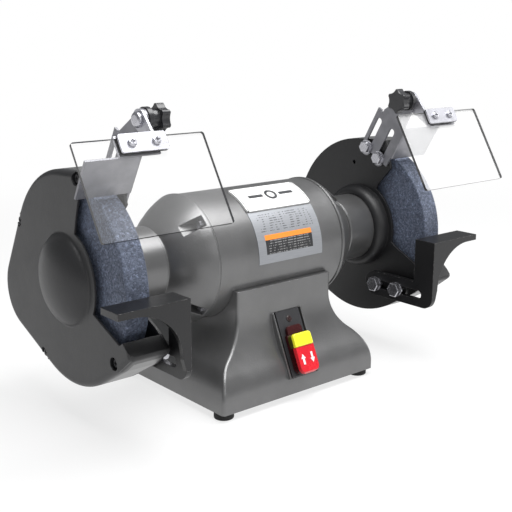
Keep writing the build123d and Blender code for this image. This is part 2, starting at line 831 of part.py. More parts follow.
with BuildPart() as guard_plate:
    with BuildSketch(across(guard_face_x)):
        add(guard_outline())
        Circle(14, mode=Mode.SUBTRACT)
        add(plate_mouth(), mode=Mode.SUBTRACT)
    extrude(amount=guard_plate_thickness)
    with BuildSketch(lengthways()):
        with BuildLine():
            inner = collar_radius + bolt_gap
            outer = boss_dia / 2
            Line((guard_face_x, inner), (boss_face_x, inner))
            Line((boss_face_x, inner), (boss_face_x, inner + 1.7))
            EllipticalCenterArc(
                (guard_face_x, inner + 1.7),
                guard_face_x - boss_face_x,
                outer - inner - 1.7,
                start_angle=90,
                arc_size=90,
            )
            Line((guard_face_x, outer), (guard_face_x, inner))
        make_face()
    revolve(axis=shaft_axis)
    with BuildSketch(across(rest_pad_x + slide_gap)):
        with Locations((sum(rest_bolt_y) / 2, -rest_bolt_drop)):
            SlotCenterToCenter(abs(rest_bolt_y[0] - rest_bolt_y[1]), 20)
    extrude(amount=guard_face_x - rest_pad_x - slide_gap)
    with BuildSketch(across(rest_pad_x)):
        with Locations(*[(y, -rest_bolt_drop) for y in rest_bolt_y]):
            Circle(rest_bolt_dia / 2)
    extrude(amount=20, mode=Mode.SUBTRACT)
    with BuildSketch(across(guard_face_x)):
        for w in spark_bolt_w:
            lean = radians(spark_lean)
            with Locations(
                (
                    w * cos(lean) - spark_bolt_u * sin(lean),
                    w * sin(lean) + spark_bolt_u * cos(lean),
                )
            ):
                Circle(spark_bolt_dia / 2)
        with Locations((9.6, 79.6)):
            Circle(2.6)
        for angle in plate_screw_angles:
            with Locations(spoke(angle, plate_screw_circle)):
                Circle(2.2)
    extrude(amount=guard_plate_thickness, mode=Mode.SUBTRACT)
keep_both(guard_plate.part, "guard_plate")

lip_wrap = 8.0  # how far the lip goes down the guard's front
lip_corner = (-guard_radius - 4.6, -56)
lip_lean = 37.7


def lip_block(length):
    """The square that takes the front of the guard as far down as the lip wraps it."""
    lean = radians(lip_lean)
    middle = length - 30
    with BuildSketch() as block:
        with Locations((lip_corner[0] + middle * cos(lean), lip_corner[1] - middle * sin(lean))):
            Rectangle(60, 60, rotation=-lip_lean)
    return block.sketch


def front_lug(grow=0):
    """The rib that joins the front screw's lug to the guard's wall."""
    with BuildSketch() as rib:
        with Locations(Location((*cover_screws[-1], 0), (0, 0, -lip_lean))):
            Rectangle(2 * (lug_radius + grow), 24, align=(Align.CENTER, Align.MAX))
    return rib.sketch


with BuildPart() as guard_band:
    with BuildSketch(across(guard_plate_x)):
        add(guard_outline())
        add(guard_outline(band_wall), mode=Mode.SUBTRACT)
    extrude(amount=guard_seam_x - guard_plate_x)
    with BuildSketch(across(guard_plate_x)):
        with Locations(*cover_screws):
            Circle(lug_radius)
        add(front_lug())
        add(guard_outline(), mode=Mode.INTERSECT)
    extrude(amount=guard_seam_x - guard_plate_x)
    with BuildSketch(Plane.XZ.offset(-dust_port_end_y)):
        with Locations(((guard_plate_x + guard_seam_x) / 2, axis_z - guard_lobe_drop)):
            Circle(dust_port_dia / 2)
    extrude(amount=17)
    with BuildSketch(Plane.XZ.offset(-dust_port_end_y)):
        with Locations(((guard_plate_x + guard_seam_x) / 2, axis_z - guard_lobe_drop)):
            Circle(dust_port_bore / 2)
    extrude(amount=17, mode=Mode.SUBTRACT)
    with BuildSketch(across(guard_plate_x)):
        add(cover_mouth())
        add(lip_block(lip_wrap))
    extrude(amount=guard_seam_x - guard_plate_x, mode=Mode.SUBTRACT)
    with BuildSketch(across(guard_seam_x - 16)):
        with Locations(*cover_screws):
            Circle(1.65)
    extrude(amount=16, mode=Mode.SUBTRACT)
keep_both(guard_band.part, "guard_band")


def cover_form():
    """The cover's outside before its mouth is cut."""
    with BuildPart() as form:
        with BuildSketch(across(guard_seam_x)):
            add(guard_outline())
        extrude(amount=guard_cover_x - guard_seam_x)
        fillet(form.faces().sort_by(Axis.X)[-1].edges(), radius=cover_edge_radius)
    return form.part


def dome_form(inset=0):
    """The dome over the nut: an elliptical cap, or its hollow when inset."""
    radius = dome_dia / 2 - inset
    root_x = guard_cover_x - cover_wall
    with BuildPart() as form:
        with BuildSketch(lengthways()) as half:
            with BuildLine():
                EllipticalCenterArc(
                    (root_x, 0),
                    dome_height + cover_wall - inset,
                    radius,
                    start_angle=0,
                    arc_size=90,
                )
                Line((root_x, radius), (root_x, 0))
                Line((root_x, 0), (guard_cover_x + dome_height - inset, 0))
            make_face()
            if not inset:
                with Locations((root_x, 0)):
                    Rectangle(cover_wall, radius + 6, align=(Align.MIN, Align.MIN))
                fillet(half.vertices().sort_by_distance((guard_cover_x, radius, 0))[0], radius=3)
        revolve(axis=shaft_axis)
    return form.part


with BuildPart() as cover_pads:
    with BuildSketch(across(pocket_floor - 1.6)):
        with Locations(*cover_screws):
            Circle(pocket_radius + 2)
        add(guard_outline(), mode=Mode.INTERSECT)
    extrude(amount=guard_cover_x - cover_wall - pocket_floor + 1.6)


def lip_outline(inset):
    """The solid lip under the mouth, for an across plane."""
    with BuildSketch() as outline:
        add(guard_outline(inset))
        with Locations((-guard_radius + 4, -56)):
            Rectangle(40, 34, rotation=-40, mode=Mode.INTERSECT)
        Circle(wheel_radius + 4, mode=Mode.SUBTRACT)
        add(cover_mouth(), mode=Mode.SUBTRACT)
    return outline.sketch


with BuildPart() as cover_lip:
    with BuildSketch(across(guard_plate_x + bolt_gap)):
        add(lip_outline(band_wall + slide_gap))
        with Locations(*cover_screws):
            Circle(lug_radius + slide_gap, mode=Mode.SUBTRACT)
        add(front_lug(slide_gap), mode=Mode.SUBTRACT)
    extrude(amount=guard_seam_x - guard_plate_x - bolt_gap)
    with BuildSketch(across(guard_plate_x + bolt_gap)):
        add(lip_outline(0))
        add(lip_block(lip_wrap - slide_gap), mode=Mode.INTERSECT)
    extrude(amount=guard_seam_x - guard_plate_x - bolt_gap)
    with BuildSketch(across(guard_seam_x)):
        add(lip_outline(cover_wall / 2))
    extrude(amount=guard_cover_x - guard_seam_x - cover_wall / 2)

with BuildPart() as guard_cover:
    add(cover_form())
    with BuildSketch(across(guard_seam_x)):
        add(guard_outline(cover_wall))
    extrude(amount=guard_cover_x - guard_seam_x - cover_wall, mode=Mode.SUBTRACT)
    add(dome_form())
    add(dome_form(cover_wall), mode=Mode.SUBTRACT)
    add(cover_pads.part)
    add(cover_lip.part)
    with BuildSketch(across(pocket_floor)):
        with Locations(*cover_screws):
            Circle(pocket_radius)
    extrude(amount=20, mode=Mode.SUBTRACT)
    with BuildSketch(across(guard_seam_x)):
        with Locations(*cover_screws):
            Circle(2.2)
    extrude(amount=20, mode=Mode.SUBTRACT)
    with BuildSketch(across(guard_seam_x)):
        add(cover_mouth())
    extrude(amount=60, mode=Mode.SUBTRACT)
keep_both(guard_cover.part, "guard_cover")

with BuildPart() as guard_cover_screws:
    for y, z in cover_screws:
        add(rod(guard_seam_x - 12, pocket_floor, 1.6, y, z))
        add(rod(pocket_floor, pocket_floor + cover_screw_head, 3.9, y, z))
    with BuildSketch(across(pocket_floor + cover_screw_head)):
        with Locations(*cover_screws):
            add(cross(4.6))
    extrude(amount=-1.4, mode=Mode.SUBTRACT)
keep_group(guard_cover_screws.part, "guard_cover_screws")

with BuildPart() as guard_plate_screws:
    for angle in plate_screw_angles:
        y, z = spoke(angle, plate_screw_circle)
        add(rod(guard_face_x - 9, guard_plate_x, 1.6, y, z))
        add(rod(guard_plate_x, guard_plate_x + 2.4, 3.7, y, z))
keep_group(guard_plate_screws.part, "guard_plate_screws")

# ---------------------------------------------------------------- spark guards
lean = radians(spark_lean)
spark_inner_x = guard_face_x - slide_gap - spark_sheet


def spark_plane(x):
    """A plane square to the shaft, whose x runs back across the slots and whose y runs up them."""
    return Plane(origin=(x, 0, axis_z), x_dir=(0, cos(lean), sin(lean)), z_dir=(1, 0, 0))


def spark_point(u, w):
    """The across-plane point of a place on the spark guard."""
    return (w * cos(lean) - u * sin(lean), w * sin(lean) + u * cos(lean))


leg_front_w = -0.5
leg_back_w = spark_bolt_w[1] + 9.5
leg_top_u = spark_slot_low + spark_slot_length + 8

with BuildPart() as spark_guard:
    with BuildSketch(spark_plane(spark_inner_x)):
        with Locations((leg_front_w, spark_slot_low)):
            Rectangle(
                leg_back_w - leg_front_w,
                leg_top_u - spark_slot_low,
                align=(Align.MIN, Align.MIN),
            )
        for w in spark_bolt_w:
            with Locations((w, spark_slot_low)):
                Circle(8.5)
        with BuildLine():
            Polyline(
                (leg_front_w + 1, leg_top_u - 1),
                (pivot_w - ear_radius, pivot_u),
                (pivot_w - ear_radius * 0.95, pivot_u + ear_radius * 0.3),
                (pivot_w + ear_radius, pivot_u),
                (leg_back_w - 7, leg_top_u - 1),
                (leg_front_w + 1, leg_top_u - 1),
            )
        make_face()
        with Locations((pivot_w, pivot_u)):
            Circle(ear_radius)
        with Locations((leg_back_w - 7, leg_top_u)):
            RegularPolygon(3, 3, rotation=-90, mode=Mode.SUBTRACT)
        for w in spark_bolt_w:
            with Locations((w, spark_slot_low + (spark_slot_length - 6) / 2)):
                SlotCenterToCenter(
                    spark_slot_length - 6,
                    spark_bolt_dia + 2 * bolt_gap,
                    rotation=90,
                    mode=Mode.SUBTRACT,
                )
        with Locations((pivot_w, pivot_u)):
            Circle(pivot_bolt_dia / 2, mode=Mode.SUBTRACT)
    extrude(amount=spark_sheet)
    with BuildSketch(spark_plane(spark_inner_x)):
        with Locations((leg_front_w, spark_low)):
            Rectangle(spark_sheet, spark_high - spark_low, align=(Align.MAX, Align.MIN))
    extrude(amount=spark_outer_x - spark_inner_x)
    bend = [
        edge
        for edge in spark_guard.edges().filter_by(GeomType.LINE)
        if abs(edge.center().X - spark_inner_x) < 0.01 and edge.length > 40
        and abs((edge.center().Y) * cos(lean) + (edge.center().Z - axis_z) * sin(lean)
                - leg_front_w + spark_sheet) < 0.2
    ]
    fillet(bend, radius=2.2)
keep_both(spark_guard.part, "spark_guard")

with BuildPart() as spark_guard_bolts:
    for w in spark_bolt_w:
        y, z = spark_point(spark_bolt_u, w)
        add(
            hex_bolt(
                spark_inner_x - slip_gap, guard_plate_x, y, z, spark_bolt_dia, 13, 5.5,
                washer=17, washer_thickness=1.6,
            )
        )
keep_group(spark_guard_bolts.part, "spark_guard_bolts")

# ---------------------------------------------------------------- eye shields, arms and knobs
tilt = radians(shield_lean)
pivot_y, pivot_rise = spark_point(pivot_u, pivot_w)
arm_x = spark_inner_x + spark_sheet + bolt_gap
clamp_outer_x = clamp_inner_x + clamp_width
shield_back = shield_thickness
clamp_top = 2.5


def shield_plane(x):
    """A plane square to the shaft at the shield's top edge: x runs back from its face, y runs up it."""
    return Plane(
        origin=(x, shield_top_y, axis_z + shield_top_rise),
        x_dir=(0, cos(tilt), -sin(tilt)),
        z_dir=(1, 0, 0),
    )


def shield_face(back):
    """A plane on the shield's face, moved back: x runs along the shaft, y runs up the shield."""
    return Plane(
        origin=(
            0,
            shield_top_y + back * cos(tilt),
            axis_z + shield_top_rise - back * sin(tilt),
        ),
        x_dir=(1, 0, 0),
        z_dir=(0, -cos(tilt), sin(tilt)),
    )


pivot_back = (pivot_y - shield_top_y) * cos(tilt) - (pivot_rise - shield_top_rise) * sin(tilt)
pivot_up = (pivot_y - shield_top_y) * sin(tilt) + (pivot_rise - shield_top_rise) * cos(tilt)
clamp_middle_x = (clamp_inner_x + clamp_outer_x) / 2
clamp_middle_up = clamp_top - clamp_height / 2
screw_places = [
    (clamp_middle_x - shield_screw_pitch / 2, clamp_middle_up),
    (clamp_middle_x + shield_screw_pitch / 2, clamp_middle_up),
]

with BuildPart() as eye_shield:
    with BuildSketch(shield_face(shield_back)):
        with Locations((shield_inner_x + shield_width / 2, -shield_length / 2)):
            RectangleRounded(shield_width, shield_length, 2.5)
        with Locations(*screw_places):
            Circle(shield_screw_dia / 2 + slip_gap, mode=Mode.SUBTRACT)
    extrude(amount=shield_thickness)
keep_both(eye_shield.part, "eye_shield")

with BuildPart() as shield_gasket:
    with BuildSketch(shield_face(0)):
        with Locations((clamp_middle_x, clamp_middle_up)):
            RectangleRounded(clamp_width, clamp_height, 2.5)
        with Locations(*screw_places):
            Circle(shield_screw_dia / 2 + slip_gap, mode=Mode.SUBTRACT)
    extrude(amount=gasket_thickness)
keep_both(shield_gasket.part, "shield_gasket")

with BuildPart() as shield_clamp:
    with BuildSketch(shield_face(-gasket_thickness)):
        with Locations((clamp_middle_x, clamp_middle_up)):
            RectangleRounded(clamp_width, clamp_height, 2.5)
        with Locations(*screw_places):
            Circle(shield_screw_dia / 2 + slip_gap, mode=Mode.SUBTRACT)
    extrude(amount=clamp_sheet)
keep_both(shield_clamp.part, "shield_clamp")

with BuildPart() as shield_screws:
    with BuildSketch(shield_face(shield_back + arm_sheet + 3)):
        with Locations(*screw_places):
            Circle(shield_screw_dia / 2)
    extrude(amount=shield_back + arm_sheet + 3 + gasket_thickness + clamp_sheet)
    with BuildSketch(shield_face(-gasket_thickness - clamp_sheet)):
        with Locations(*screw_places):
            Circle(4.5)
    extrude(amount=2.6)
    fillet(shield_screws.edges().group_by(SortBy.LENGTH)[-1].sort_by(Axis.Y)[:2], radius=1.6)
    with BuildSketch(shield_face(-gasket_thickness - clamp_sheet - 2.6)):
        with Locations(*screw_places):
            add(cross(5.0))
    extrude(amount=-1.6, mode=Mode.SUBTRACT)
keep_both(shield_screws.part, "shield_screws")

with BuildPart() as shield_arm:
    with BuildSketch(shield_plane(arm_x)):
        with Locations((pivot_back, pivot_up)):
            Circle(ear_radius)
        with Locations((shield_back, clamp_top + 1)):
            Rectangle(4, 18, align=(Align.MIN, Align.MAX))
        make_hull()
        with Locations((pivot_back, pivot_up)):
            Circle(pivot_bolt_dia / 2 + running_gap, mode=Mode.SUBTRACT)
    extrude(amount=arm_sheet)
    with BuildSketch(shield_face(shield_back + arm_sheet)):
        with Locations(((arm_x + clamp_outer_x) / 2, clamp_middle_up)):
            Rectangle(clamp_outer_x - arm_x, clamp_height + 2)
        with Locations(*screw_places):
            Circle(shield_screw_dia / 2, mode=Mode.SUBTRACT)
    extrude(amount=arm_sheet)
keep_both(shield_arm.part, "shield_arm")

knob_bore_end_x = knob_face_x + 5
knob_back_x = spark_inner_x - slide_gap

with BuildPart() as pivot_bolt:
    add(rod(knob_bore_end_x + 1, arm_x + arm_sheet + slip_gap, pivot_bolt_dia / 2, pivot_y, pivot_rise))
    add(
        rod(
            arm_x + arm_sheet + slip_gap, arm_x + arm_sheet + slip_gap + 4.5, 7.5,
            pivot_y, pivot_rise,
        )
    )
    fillet(pivot_bolt.edges().sort_by(Axis.X)[-1], radius=3)
keep_both(pivot_bolt.part, "pivot_bolt")

with BuildPart() as knob:
    with BuildSketch(across(knob_face_x)):
        with Locations((pivot_y, pivot_rise)):
            RegularPolygon(knob_dia / 2, knob_lobes, rotation=30)
        with Locations((pivot_y, pivot_rise)):
            with PolarLocations(knob_dia / 2 * 0.866 + 9, knob_lobes):
                Circle(10.4, mode=Mode.SUBTRACT)
    extrude(amount=knob_head_thickness)
    lobe_edges = sorted(
        knob.edges().filter_by(Axis.X),
        key=lambda e: (e.center().Y - pivot_y) ** 2 + (e.center().Z - axis_z - pivot_rise) ** 2,
    )[-knob_lobes:]
    fillet(lobe_edges, radius=2.4)
    chamfer(knob.faces().sort_by(Axis.X)[0].edges(), length=0.9)
    add(rod(knob_face_x + knob_head_thickness, knob_back_x - 3, 9, pivot_y, pivot_rise))
    add(rod(knob_back_x - 5, knob_back_x, 11.5, pivot_y, pivot_rise))
    with BuildSketch(across(knob_bore_end_x)):
        with Locations((pivot_y, pivot_rise)):
            Circle(pivot_bolt_dia / 2 + running_gap)
    extrude(amount=knob_back_x - knob_bore_end_x, mode=Mode.SUBTRACT)
keep_both(knob.part, "knob")

# ---------------------------------------------------------------- tool rests
rest_top = rest_top_rise
rest_low = -rest_foot_drop - rest_foot_height / 2
web_arc_x = rest_inner_x + rest_leg_thickness + 3 + rest_web_radius
web_arc_z = rest_top - rest_table_thickness - rest_web_radius

with BuildPart() as tool_rest:
    with BuildSketch(across(rest_inner_x)):
        with Locations((rest_front_y, rest_top)):
            Rectangle(rest_depth, rest_top - rest_low, align=(Align.MIN, Align.MAX))
        with Locations((rest_front_y, -rest_foot_drop)):
            Rectangle(
                rest_slot_back_y - 4 - rest_front_y,
                rest_foot_height,
                align=(Align.MIN, Align.CENTER),
            )
        with Locations((rest_slot_back_y - 4, -rest_foot_drop)):
            Circle(rest_foot_height / 2)
        with Locations(((rest_slot_back_y + rest_slot_front_y) / 2, -rest_foot_drop)):
            SlotCenterToCenter(
                rest_slot_back_y - rest_slot_front_y,
                rest_slot_width,
                mode=Mode.SUBTRACT,
            )
    extrude(amount=rest_leg_thickness)
    low_corner = [
        edge
        for edge in tool_rest.edges().filter_by(Axis.X)
        if edge.center().Y < rest_front_y + 0.1 and edge.center().Z < axis_z + rest_low + 0.1
    ]
    fillet(low_corner, radius=14)
    with BuildSketch(Plane.XY.offset(axis_z + rest_top - rest_table_thickness)):
        with Locations((rest_inner_x, rest_front_y)):
            Rectangle(rest_width, rest_depth, align=(Align.MIN, Align.MIN))
    extrude(amount=rest_table_thickness)
    with BuildSketch(Plane.XZ.offset(-rest_front_y)):
        with BuildLine():
            Line(
                (rest_inner_x, axis_z + rest_top - 1),
                (web_arc_x, axis_z + rest_top - 1),
            )
            Line(
                (web_arc_x, axis_z + rest_top - 1),
                (web_arc_x, axis_z + rest_top - rest_table_thickness),
            )
            RadiusArc(
                (web_arc_x, axis_z + rest_top - rest_table_thickness),
                (web_arc_x - rest_web_radius, axis_z + web_arc_z),
                -rest_web_radius,
            )
            Line(
                (web_arc_x - rest_web_radius, axis_z + web_arc_z),
                (rest_inner_x + rest_leg_thickness, axis_z + web_arc_z - 12),
            )
            Line(
                (rest_inner_x + rest_leg_thickness, axis_z + web_arc_z - 12),
                (rest_inner_x, axis_z + web_arc_z - 12),
            )
            Line(
                (rest_inner_x, axis_z + web_arc_z - 12),
                (rest_inner_x, axis_z + rest_top - 1),
            )
        make_face()
    extrude(amount=-rest_web_thickness)
keep_both(tool_rest.part, "tool_rest")

with BuildPart() as tool_rest_bolts:
    for y in rest_bolt_y:
        add(
            hex_bolt(
                rest_inner_x - slip_gap, guard_plate_x + 1, y, -rest_foot_drop, rest_bolt_dia, 16, 6.4,
                washer=17.5, washer_thickness=1.8,
            )
        )
keep_group(tool_rest_bolts.part, "tool_rest_bolts")

# ---------------------------------------------------------------- switch
window_width = 20.0
window_length = 32.0
paddle_top = 19.0
paddle_low = -36.0
key_top = 9.0
key_low = key_top - key_length
key_seat = 4.5
key_tongue = 0.8
hinge_up = 12.0
hinge_deep = 3.0
hinge_pin_dia = 3.0
hinge_pin_reach = 1.0  # into the plate on either side of its window


def switch_side(x):
    """A plane square to the shaft on the switch's middle: x runs out of the plate, y runs up it."""
    return Plane(
        origin=(x, switch_y, switch_z),
        x_dir=switch_plane.z_dir,
        z_dir=(-1, 0, 0),
    )


with BuildPart() as switch_plate:
    with BuildSketch(switch_plane.offset(-switch_recess)):
        Rectangle(switch_width, switch_length)
        Rectangle(window_width, window_length, mode=Mode.SUBTRACT)
    extrude(amount=switch_recess)
    chamfer(switch_plate.faces().sort_by(Axis.Y)[0].outer_wire().edges(), length=0.8)
    with BuildSketch(switch_plane.offset(-1.5)):
        with Locations((0, 27)):
            Circle(3.6)
    extrude(amount=1.5, mode=Mode.SUBTRACT)
    with BuildSketch(switch_side(window_width / 2 + hinge_pin_reach + slip_gap)):
        with Locations((-hinge_deep, hinge_up)):
            Circle(hinge_pin_dia / 2 + running_gap)
    extrude(amount=window_width + 2 * hinge_pin_reach + 2 * slip_gap, mode=Mode.SUBTRACT)
keep(switch_plate.part, "switch_plate")

with BuildPart() as indicator_lens:
    with BuildSketch(switch_plane.offset(-1.4)):
        with Locations((0, 27)):
            Circle(3.5)
    extrude(amount=2.2)
    fillet(indicator_lens.faces().sort_by(Axis.Y)[0].edges(), radius=0.6)
keep(indicator_lens.part, "indicator_lens")

with BuildPart() as switch_housing:
    with BuildSketch(switch_plane.offset(-switch_recess - 26)):
        Rectangle(29, 58)
    extrude(amount=26)
    with BuildSketch(switch_plane.offset(-switch_recess - 8)):
        Rectangle(window_width, window_length)
    extrude(amount=8, mode=Mode.SUBTRACT)
keep(switch_housing.part, "switch_housing")

with BuildPart() as switch_paddle:
    with BuildSketch(switch_side(paddle_width / 2)):
        with BuildLine():
            Polyline(
                (2.2, paddle_top),
                (key_seat, paddle_top),
                (key_seat, key_low),
                (13.5, key_low),
                (13.5, paddle_low + 2),
                (10.5, paddle_low),
                (3.5, paddle_low),
                (0.5, paddle_low + 6),
                (0.5, hinge_up + 1),
                (2.2, paddle_top),
            )
        make_face()
    extrude(amount=paddle_width)
    with BuildSketch(switch_plane):
        with Locations((0, (key_top + paddle_low) / 2)):
            RectangleRounded(paddle_width, key_top - paddle_low, 8)
        with Locations((0, key_top - 8)):
            Rectangle(paddle_width, 16)
        with Locations((0, paddle_top / 2)):
            RectangleRounded(paddle_width - 5, paddle_top, 4)
    extrude(amount=20, mode=Mode.INTERSECT)
    with BuildSketch(switch_plane.offset(-6)):
        with Locations((0, 3)):
            Rectangle(window_width - 4, window_length - 10)
    extrude(amount=6.6)
    with BuildSketch(switch_side(window_width / 2 + hinge_pin_reach)):
        with Locations((-hinge_deep, hinge_up)):
            Circle(hinge_pin_dia / 2)
    extrude(amount=window_width + 2 * hinge_pin_reach)
    with BuildSketch(switch_plane.offset(key_seat - key_tongue - slide_gap)):
        with Locations((0, (key_top + key_low) / 2)):
            Rectangle(12, 4)
    extrude(amount=10, mode=Mode.SUBTRACT)
keep(switch_paddle.part, "switch_paddle")

with BuildPart() as safety_key:
    with BuildSketch(switch_plane.offset(key_seat + slide_gap)) as key_face:
        with Locations((0, (key_top + key_low) / 2 + slide_gap / 2)):
            Rectangle(paddle_width, key_length - slide_gap)
        fillet(key_face.vertices().sort_by(Axis.Y)[-2:], radius=4)
    extrude(amount=10)
    fillet(safety_key.faces().sort_by(Axis.Y)[0].edges(), radius=1.6)
    with BuildSketch(switch_plane.offset(key_seat - key_tongue)):
        with Locations((0, (key_top + key_low) / 2)):
            Rectangle(12 - 2 * slide_gap, 4 - 2 * slide_gap)
    extrude(amount=key_tongue + 2 * slide_gap)
keep(safety_key.part, "safety_key")


# ---------------------------------------------------------------- badge and rating plate
def shell_patch(inner, outer, low_angle, high_angle, corner):
    """A curved plate on the motor shell, between two angles counted from the front upwards."""
    start = radians(low_angle)
    plane = Plane(
        origin=(0, 0, axis_z),
        x_dir=(1, 0, 0),
        z_dir=(0, -sin(start), -cos(start)),
    )
    with BuildPart() as patch:
        with BuildSketch(plane):
            with Locations((label_middle_x, (inner + outer) / 2)):
                Rectangle(2 * label_half_width, outer - inner)
        revolve(axis=Axis((0, 0, axis_z), (-1, 0, 0)), revolution_arc=high_angle - low_angle)
        if corner:
            fillet(patch.edges().filter_by(lambda e: e.length < outer - inner + 0.1), radius=corner)
    return patch.part


keep(shell_patch(shell_radius, shell_radius + badge_thickness, 46.0, 78.0, 3.5), "badge_plate")
keep(shell_patch(shell_radius, shell_radius + rating_thickness, -3, 45.4, 0), "rating_plate")
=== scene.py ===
"""Bench grinder: the finishes, small built pieces, lights and camera that go round its CAD frame."""

import json
from math import cos, pi, radians, sin

import bmesh
import bpy
from bpy.props import FloatProperty, FloatVectorProperty, PointerProperty
from mathutils import Matrix, Vector


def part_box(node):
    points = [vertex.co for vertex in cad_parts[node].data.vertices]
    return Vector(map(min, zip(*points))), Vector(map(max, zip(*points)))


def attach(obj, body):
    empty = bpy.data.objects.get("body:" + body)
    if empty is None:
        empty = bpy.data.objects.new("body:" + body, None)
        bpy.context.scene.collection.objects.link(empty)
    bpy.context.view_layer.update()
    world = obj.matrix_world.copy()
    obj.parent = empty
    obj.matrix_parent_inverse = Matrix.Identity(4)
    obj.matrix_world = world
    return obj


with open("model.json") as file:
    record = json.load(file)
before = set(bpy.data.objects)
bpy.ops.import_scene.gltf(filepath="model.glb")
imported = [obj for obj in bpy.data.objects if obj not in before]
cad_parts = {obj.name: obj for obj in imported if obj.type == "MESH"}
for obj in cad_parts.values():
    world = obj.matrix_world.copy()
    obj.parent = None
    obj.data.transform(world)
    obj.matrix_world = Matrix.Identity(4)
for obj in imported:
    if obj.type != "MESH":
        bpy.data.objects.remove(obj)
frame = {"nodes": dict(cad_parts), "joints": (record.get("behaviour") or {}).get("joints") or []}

bl_info = {
    "name": "Bench grinder",
    "version": (1, 0, 0),
    "blender": (4, 5, 0),
    "location": "3D View > Sidebar > Grinder",
    "description": "Paints a bench grinder, builds its trim and sets its studio",
    "category": "Object",
}

nodes = frame["nodes"]
joints = {joint["name"]: joint for joint in frame["joints"]}
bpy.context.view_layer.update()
MM = 0.001


# ------------------------------------------------------------------ places taken from the frame
def reach(node, direction):
    """How far a piece goes along a direction from the origin, in metres."""
    return max(vertex.co.dot(direction) for vertex in nodes[node].data.vertices)


def square_to(origin, x_axis, y_axis):
    """The matrix that carries a flat drawing onto a face, with its z coming out of that face."""
    x_axis = Vector(x_axis).normalized()
    y_axis = Vector(y_axis).normalized()
    z_axis = x_axis.cross(y_axis)
    turn = Matrix((x_axis, y_axis, z_axis)).transposed()
    return Matrix.Translation(origin) @ turn.to_4x4()


axle = Vector(joints["rotor_spin"]["pos_m"])
badge_low, badge_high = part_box("badge_plate")
label_middle = (badge_low.x + badge_high.x) / 2
label_half = (badge_high.x - badge_low.x) / 2
switch_out = Vector(joints["safety_key_slide"]["axis"])
switch_up = switch_out.cross((1, 0, 0))
if switch_up.z < 0:
    switch_up = -switch_up

# badge: its ring and bars are raised, and stand in the middle of its height
EMBLEM_ANGLE = radians(62.0)  # up from the front, round the shaft
EMBLEM_HEIGHT = 0.5 * MM
EMBLEM_SUNK = 0.1 * MM
EMBLEM_RIM = 3 * MM
EMBLEM_BAR = (20 * MM, 4.2 * MM)
EMBLEM_BAR_X = 22 * MM
BADGE_LINE_OUT = (1.3 * MM, 1.5 * MM)  # from the badge's end to the outside of its dark line
BADGE_LINE_IN = (2.2 * MM, 2.4 * MM)

# rating plate: its bands are angles in degrees, up from the front round the shaft
ROW_PITCH = 2.25
ROW_HALF = 0.17  # share of the pitch
HEADER_BAND = (25.2, 43.4)
HEADER_HALF = 38 * MM
STRIP_BAND = (17.8, 22.4)
PANEL_BAND = (5.0, 17.8)
PANEL_X = -1.5 * MM  # from the middle of the plate
PANEL_HALF = 34 * MM
LINES_HALF = 30 * MM

# switch: how far below its face a moulding's sides carry painted shade, and where the arrows stand
PADDLE_SHADE_DEPTH = 5 * MM
KEY_SHADE_DEPTH = 4 * MM
SHADE_SOFTNESS = 0.4 * MM
ARROW_X = 6.4 * MM
ARROW_UP = 16 * MM  # from the paddle's lower end
ARROW_THICKNESS = 0.35 * MM
ARROW_SUNK = 0.05 * MM

# eye shields: how they lean, and how square to its face a surface is to count as a face
SHIELD_LEAN = radians(30.5)
SHIELD_FACE = 0.7

LAMINATION = 0.7 * MM  # from one sheet of the motor's iron to the next


# ------------------------------------------------------------------ what a user would change
def tint(name, description, red, green, blue):
    """A colour property."""
    return FloatVectorProperty(
        name=name,
        description=description,
        subtype="COLOR",
        size=3,
        min=0,
        max=1,
        default=(red, green, blue),
    )


def share(name, description, default):
    """A property from 0 to 1."""
    return FloatProperty(
        name=name,
        description=description,
        subtype="FACTOR",
        min=0,
        max=1,
        default=default,
    )


def size(name, description, default):
    """A length property, in metres."""
    return FloatProperty(
        name=name,
        description=description,
        subtype="DISTANCE",
        unit="LENGTH",
        min=0,
        default=default,
    )


def power(name, description, default):
    """A lamp's power property, in watts."""
    return FloatProperty(name=name, description=description, min=0, default=default)


class GrinderPaints(bpy.types.PropertyGroup):
    """Colours of the grinder's parts"""

    casting: tint("Casting paint", "Satin grey on the base, motor and guard bands", 0.178, 0.178, 0.179)
    cover: tint("Cover paint", "Charcoal on the wheel covers", 0.026, 0.026, 0.0275)
    black: tint("Black paint", "Guard plates and tool rests", 0.008, 0.008, 0.009)
    zinc: tint("Zinc", "Sheet brackets and fasteners", 0.28, 0.28, 0.30)
    grit: tint("Abrasive", "Grain of the grinding wheels", 0.098, 0.117, 0.168)
    paddle: tint("Paddle", "Red moulding of the switch", 0.62, 0.012, 0.022)
    key: tint("Key", "Yellow safety key", 0.90, 0.86, 0.025)
    plastic: tint("Plastic", "Knobs, switch surround and gland", 0.018, 0.018, 0.020)
    rubber: tint("Rubber", "Feet and gaskets", 0.010, 0.010, 0.010)
    clear: tint("Clear sheet", "Body tint of the eye shields", 0.95, 0.95, 0.95)
    badge: tint("Badge", "Face of the badge", 0.80, 0.80, 0.79)
    foil: tint("Foil", "Silver of the rating plate", 0.30, 0.31, 0.33)


class GrinderDetail(bpy.types.PropertyGroup):
    """Sizes of the grinder's fine detail"""

    # paint_edge also sets how wide the painted highlight along painted edges is
    paint_edge: size("Paint edge", "Softness of a painted casting's edges", 0.0011)
    sheet_edge: size("Sheet edge", "Softness of a cut sheet's edges", 0.0004)
    grain: size("Grain", "Size of the wheel's abrasive grains", 0.0016)
    peel: size("Peel", "Size of the ripples in sprayed paint", 0.0016)
    wear: share("Wear", "How far paint has worn from corners", 0.35)
    haze: share("Haze", "How much a clear sheet whitens what is behind it", 0.012)
    emblem: size("Emblem", "Radius of the badge's ring", 0.0078)
    arrow: size("Arrow", "Length of the arrows on the paddle", 0.0118)


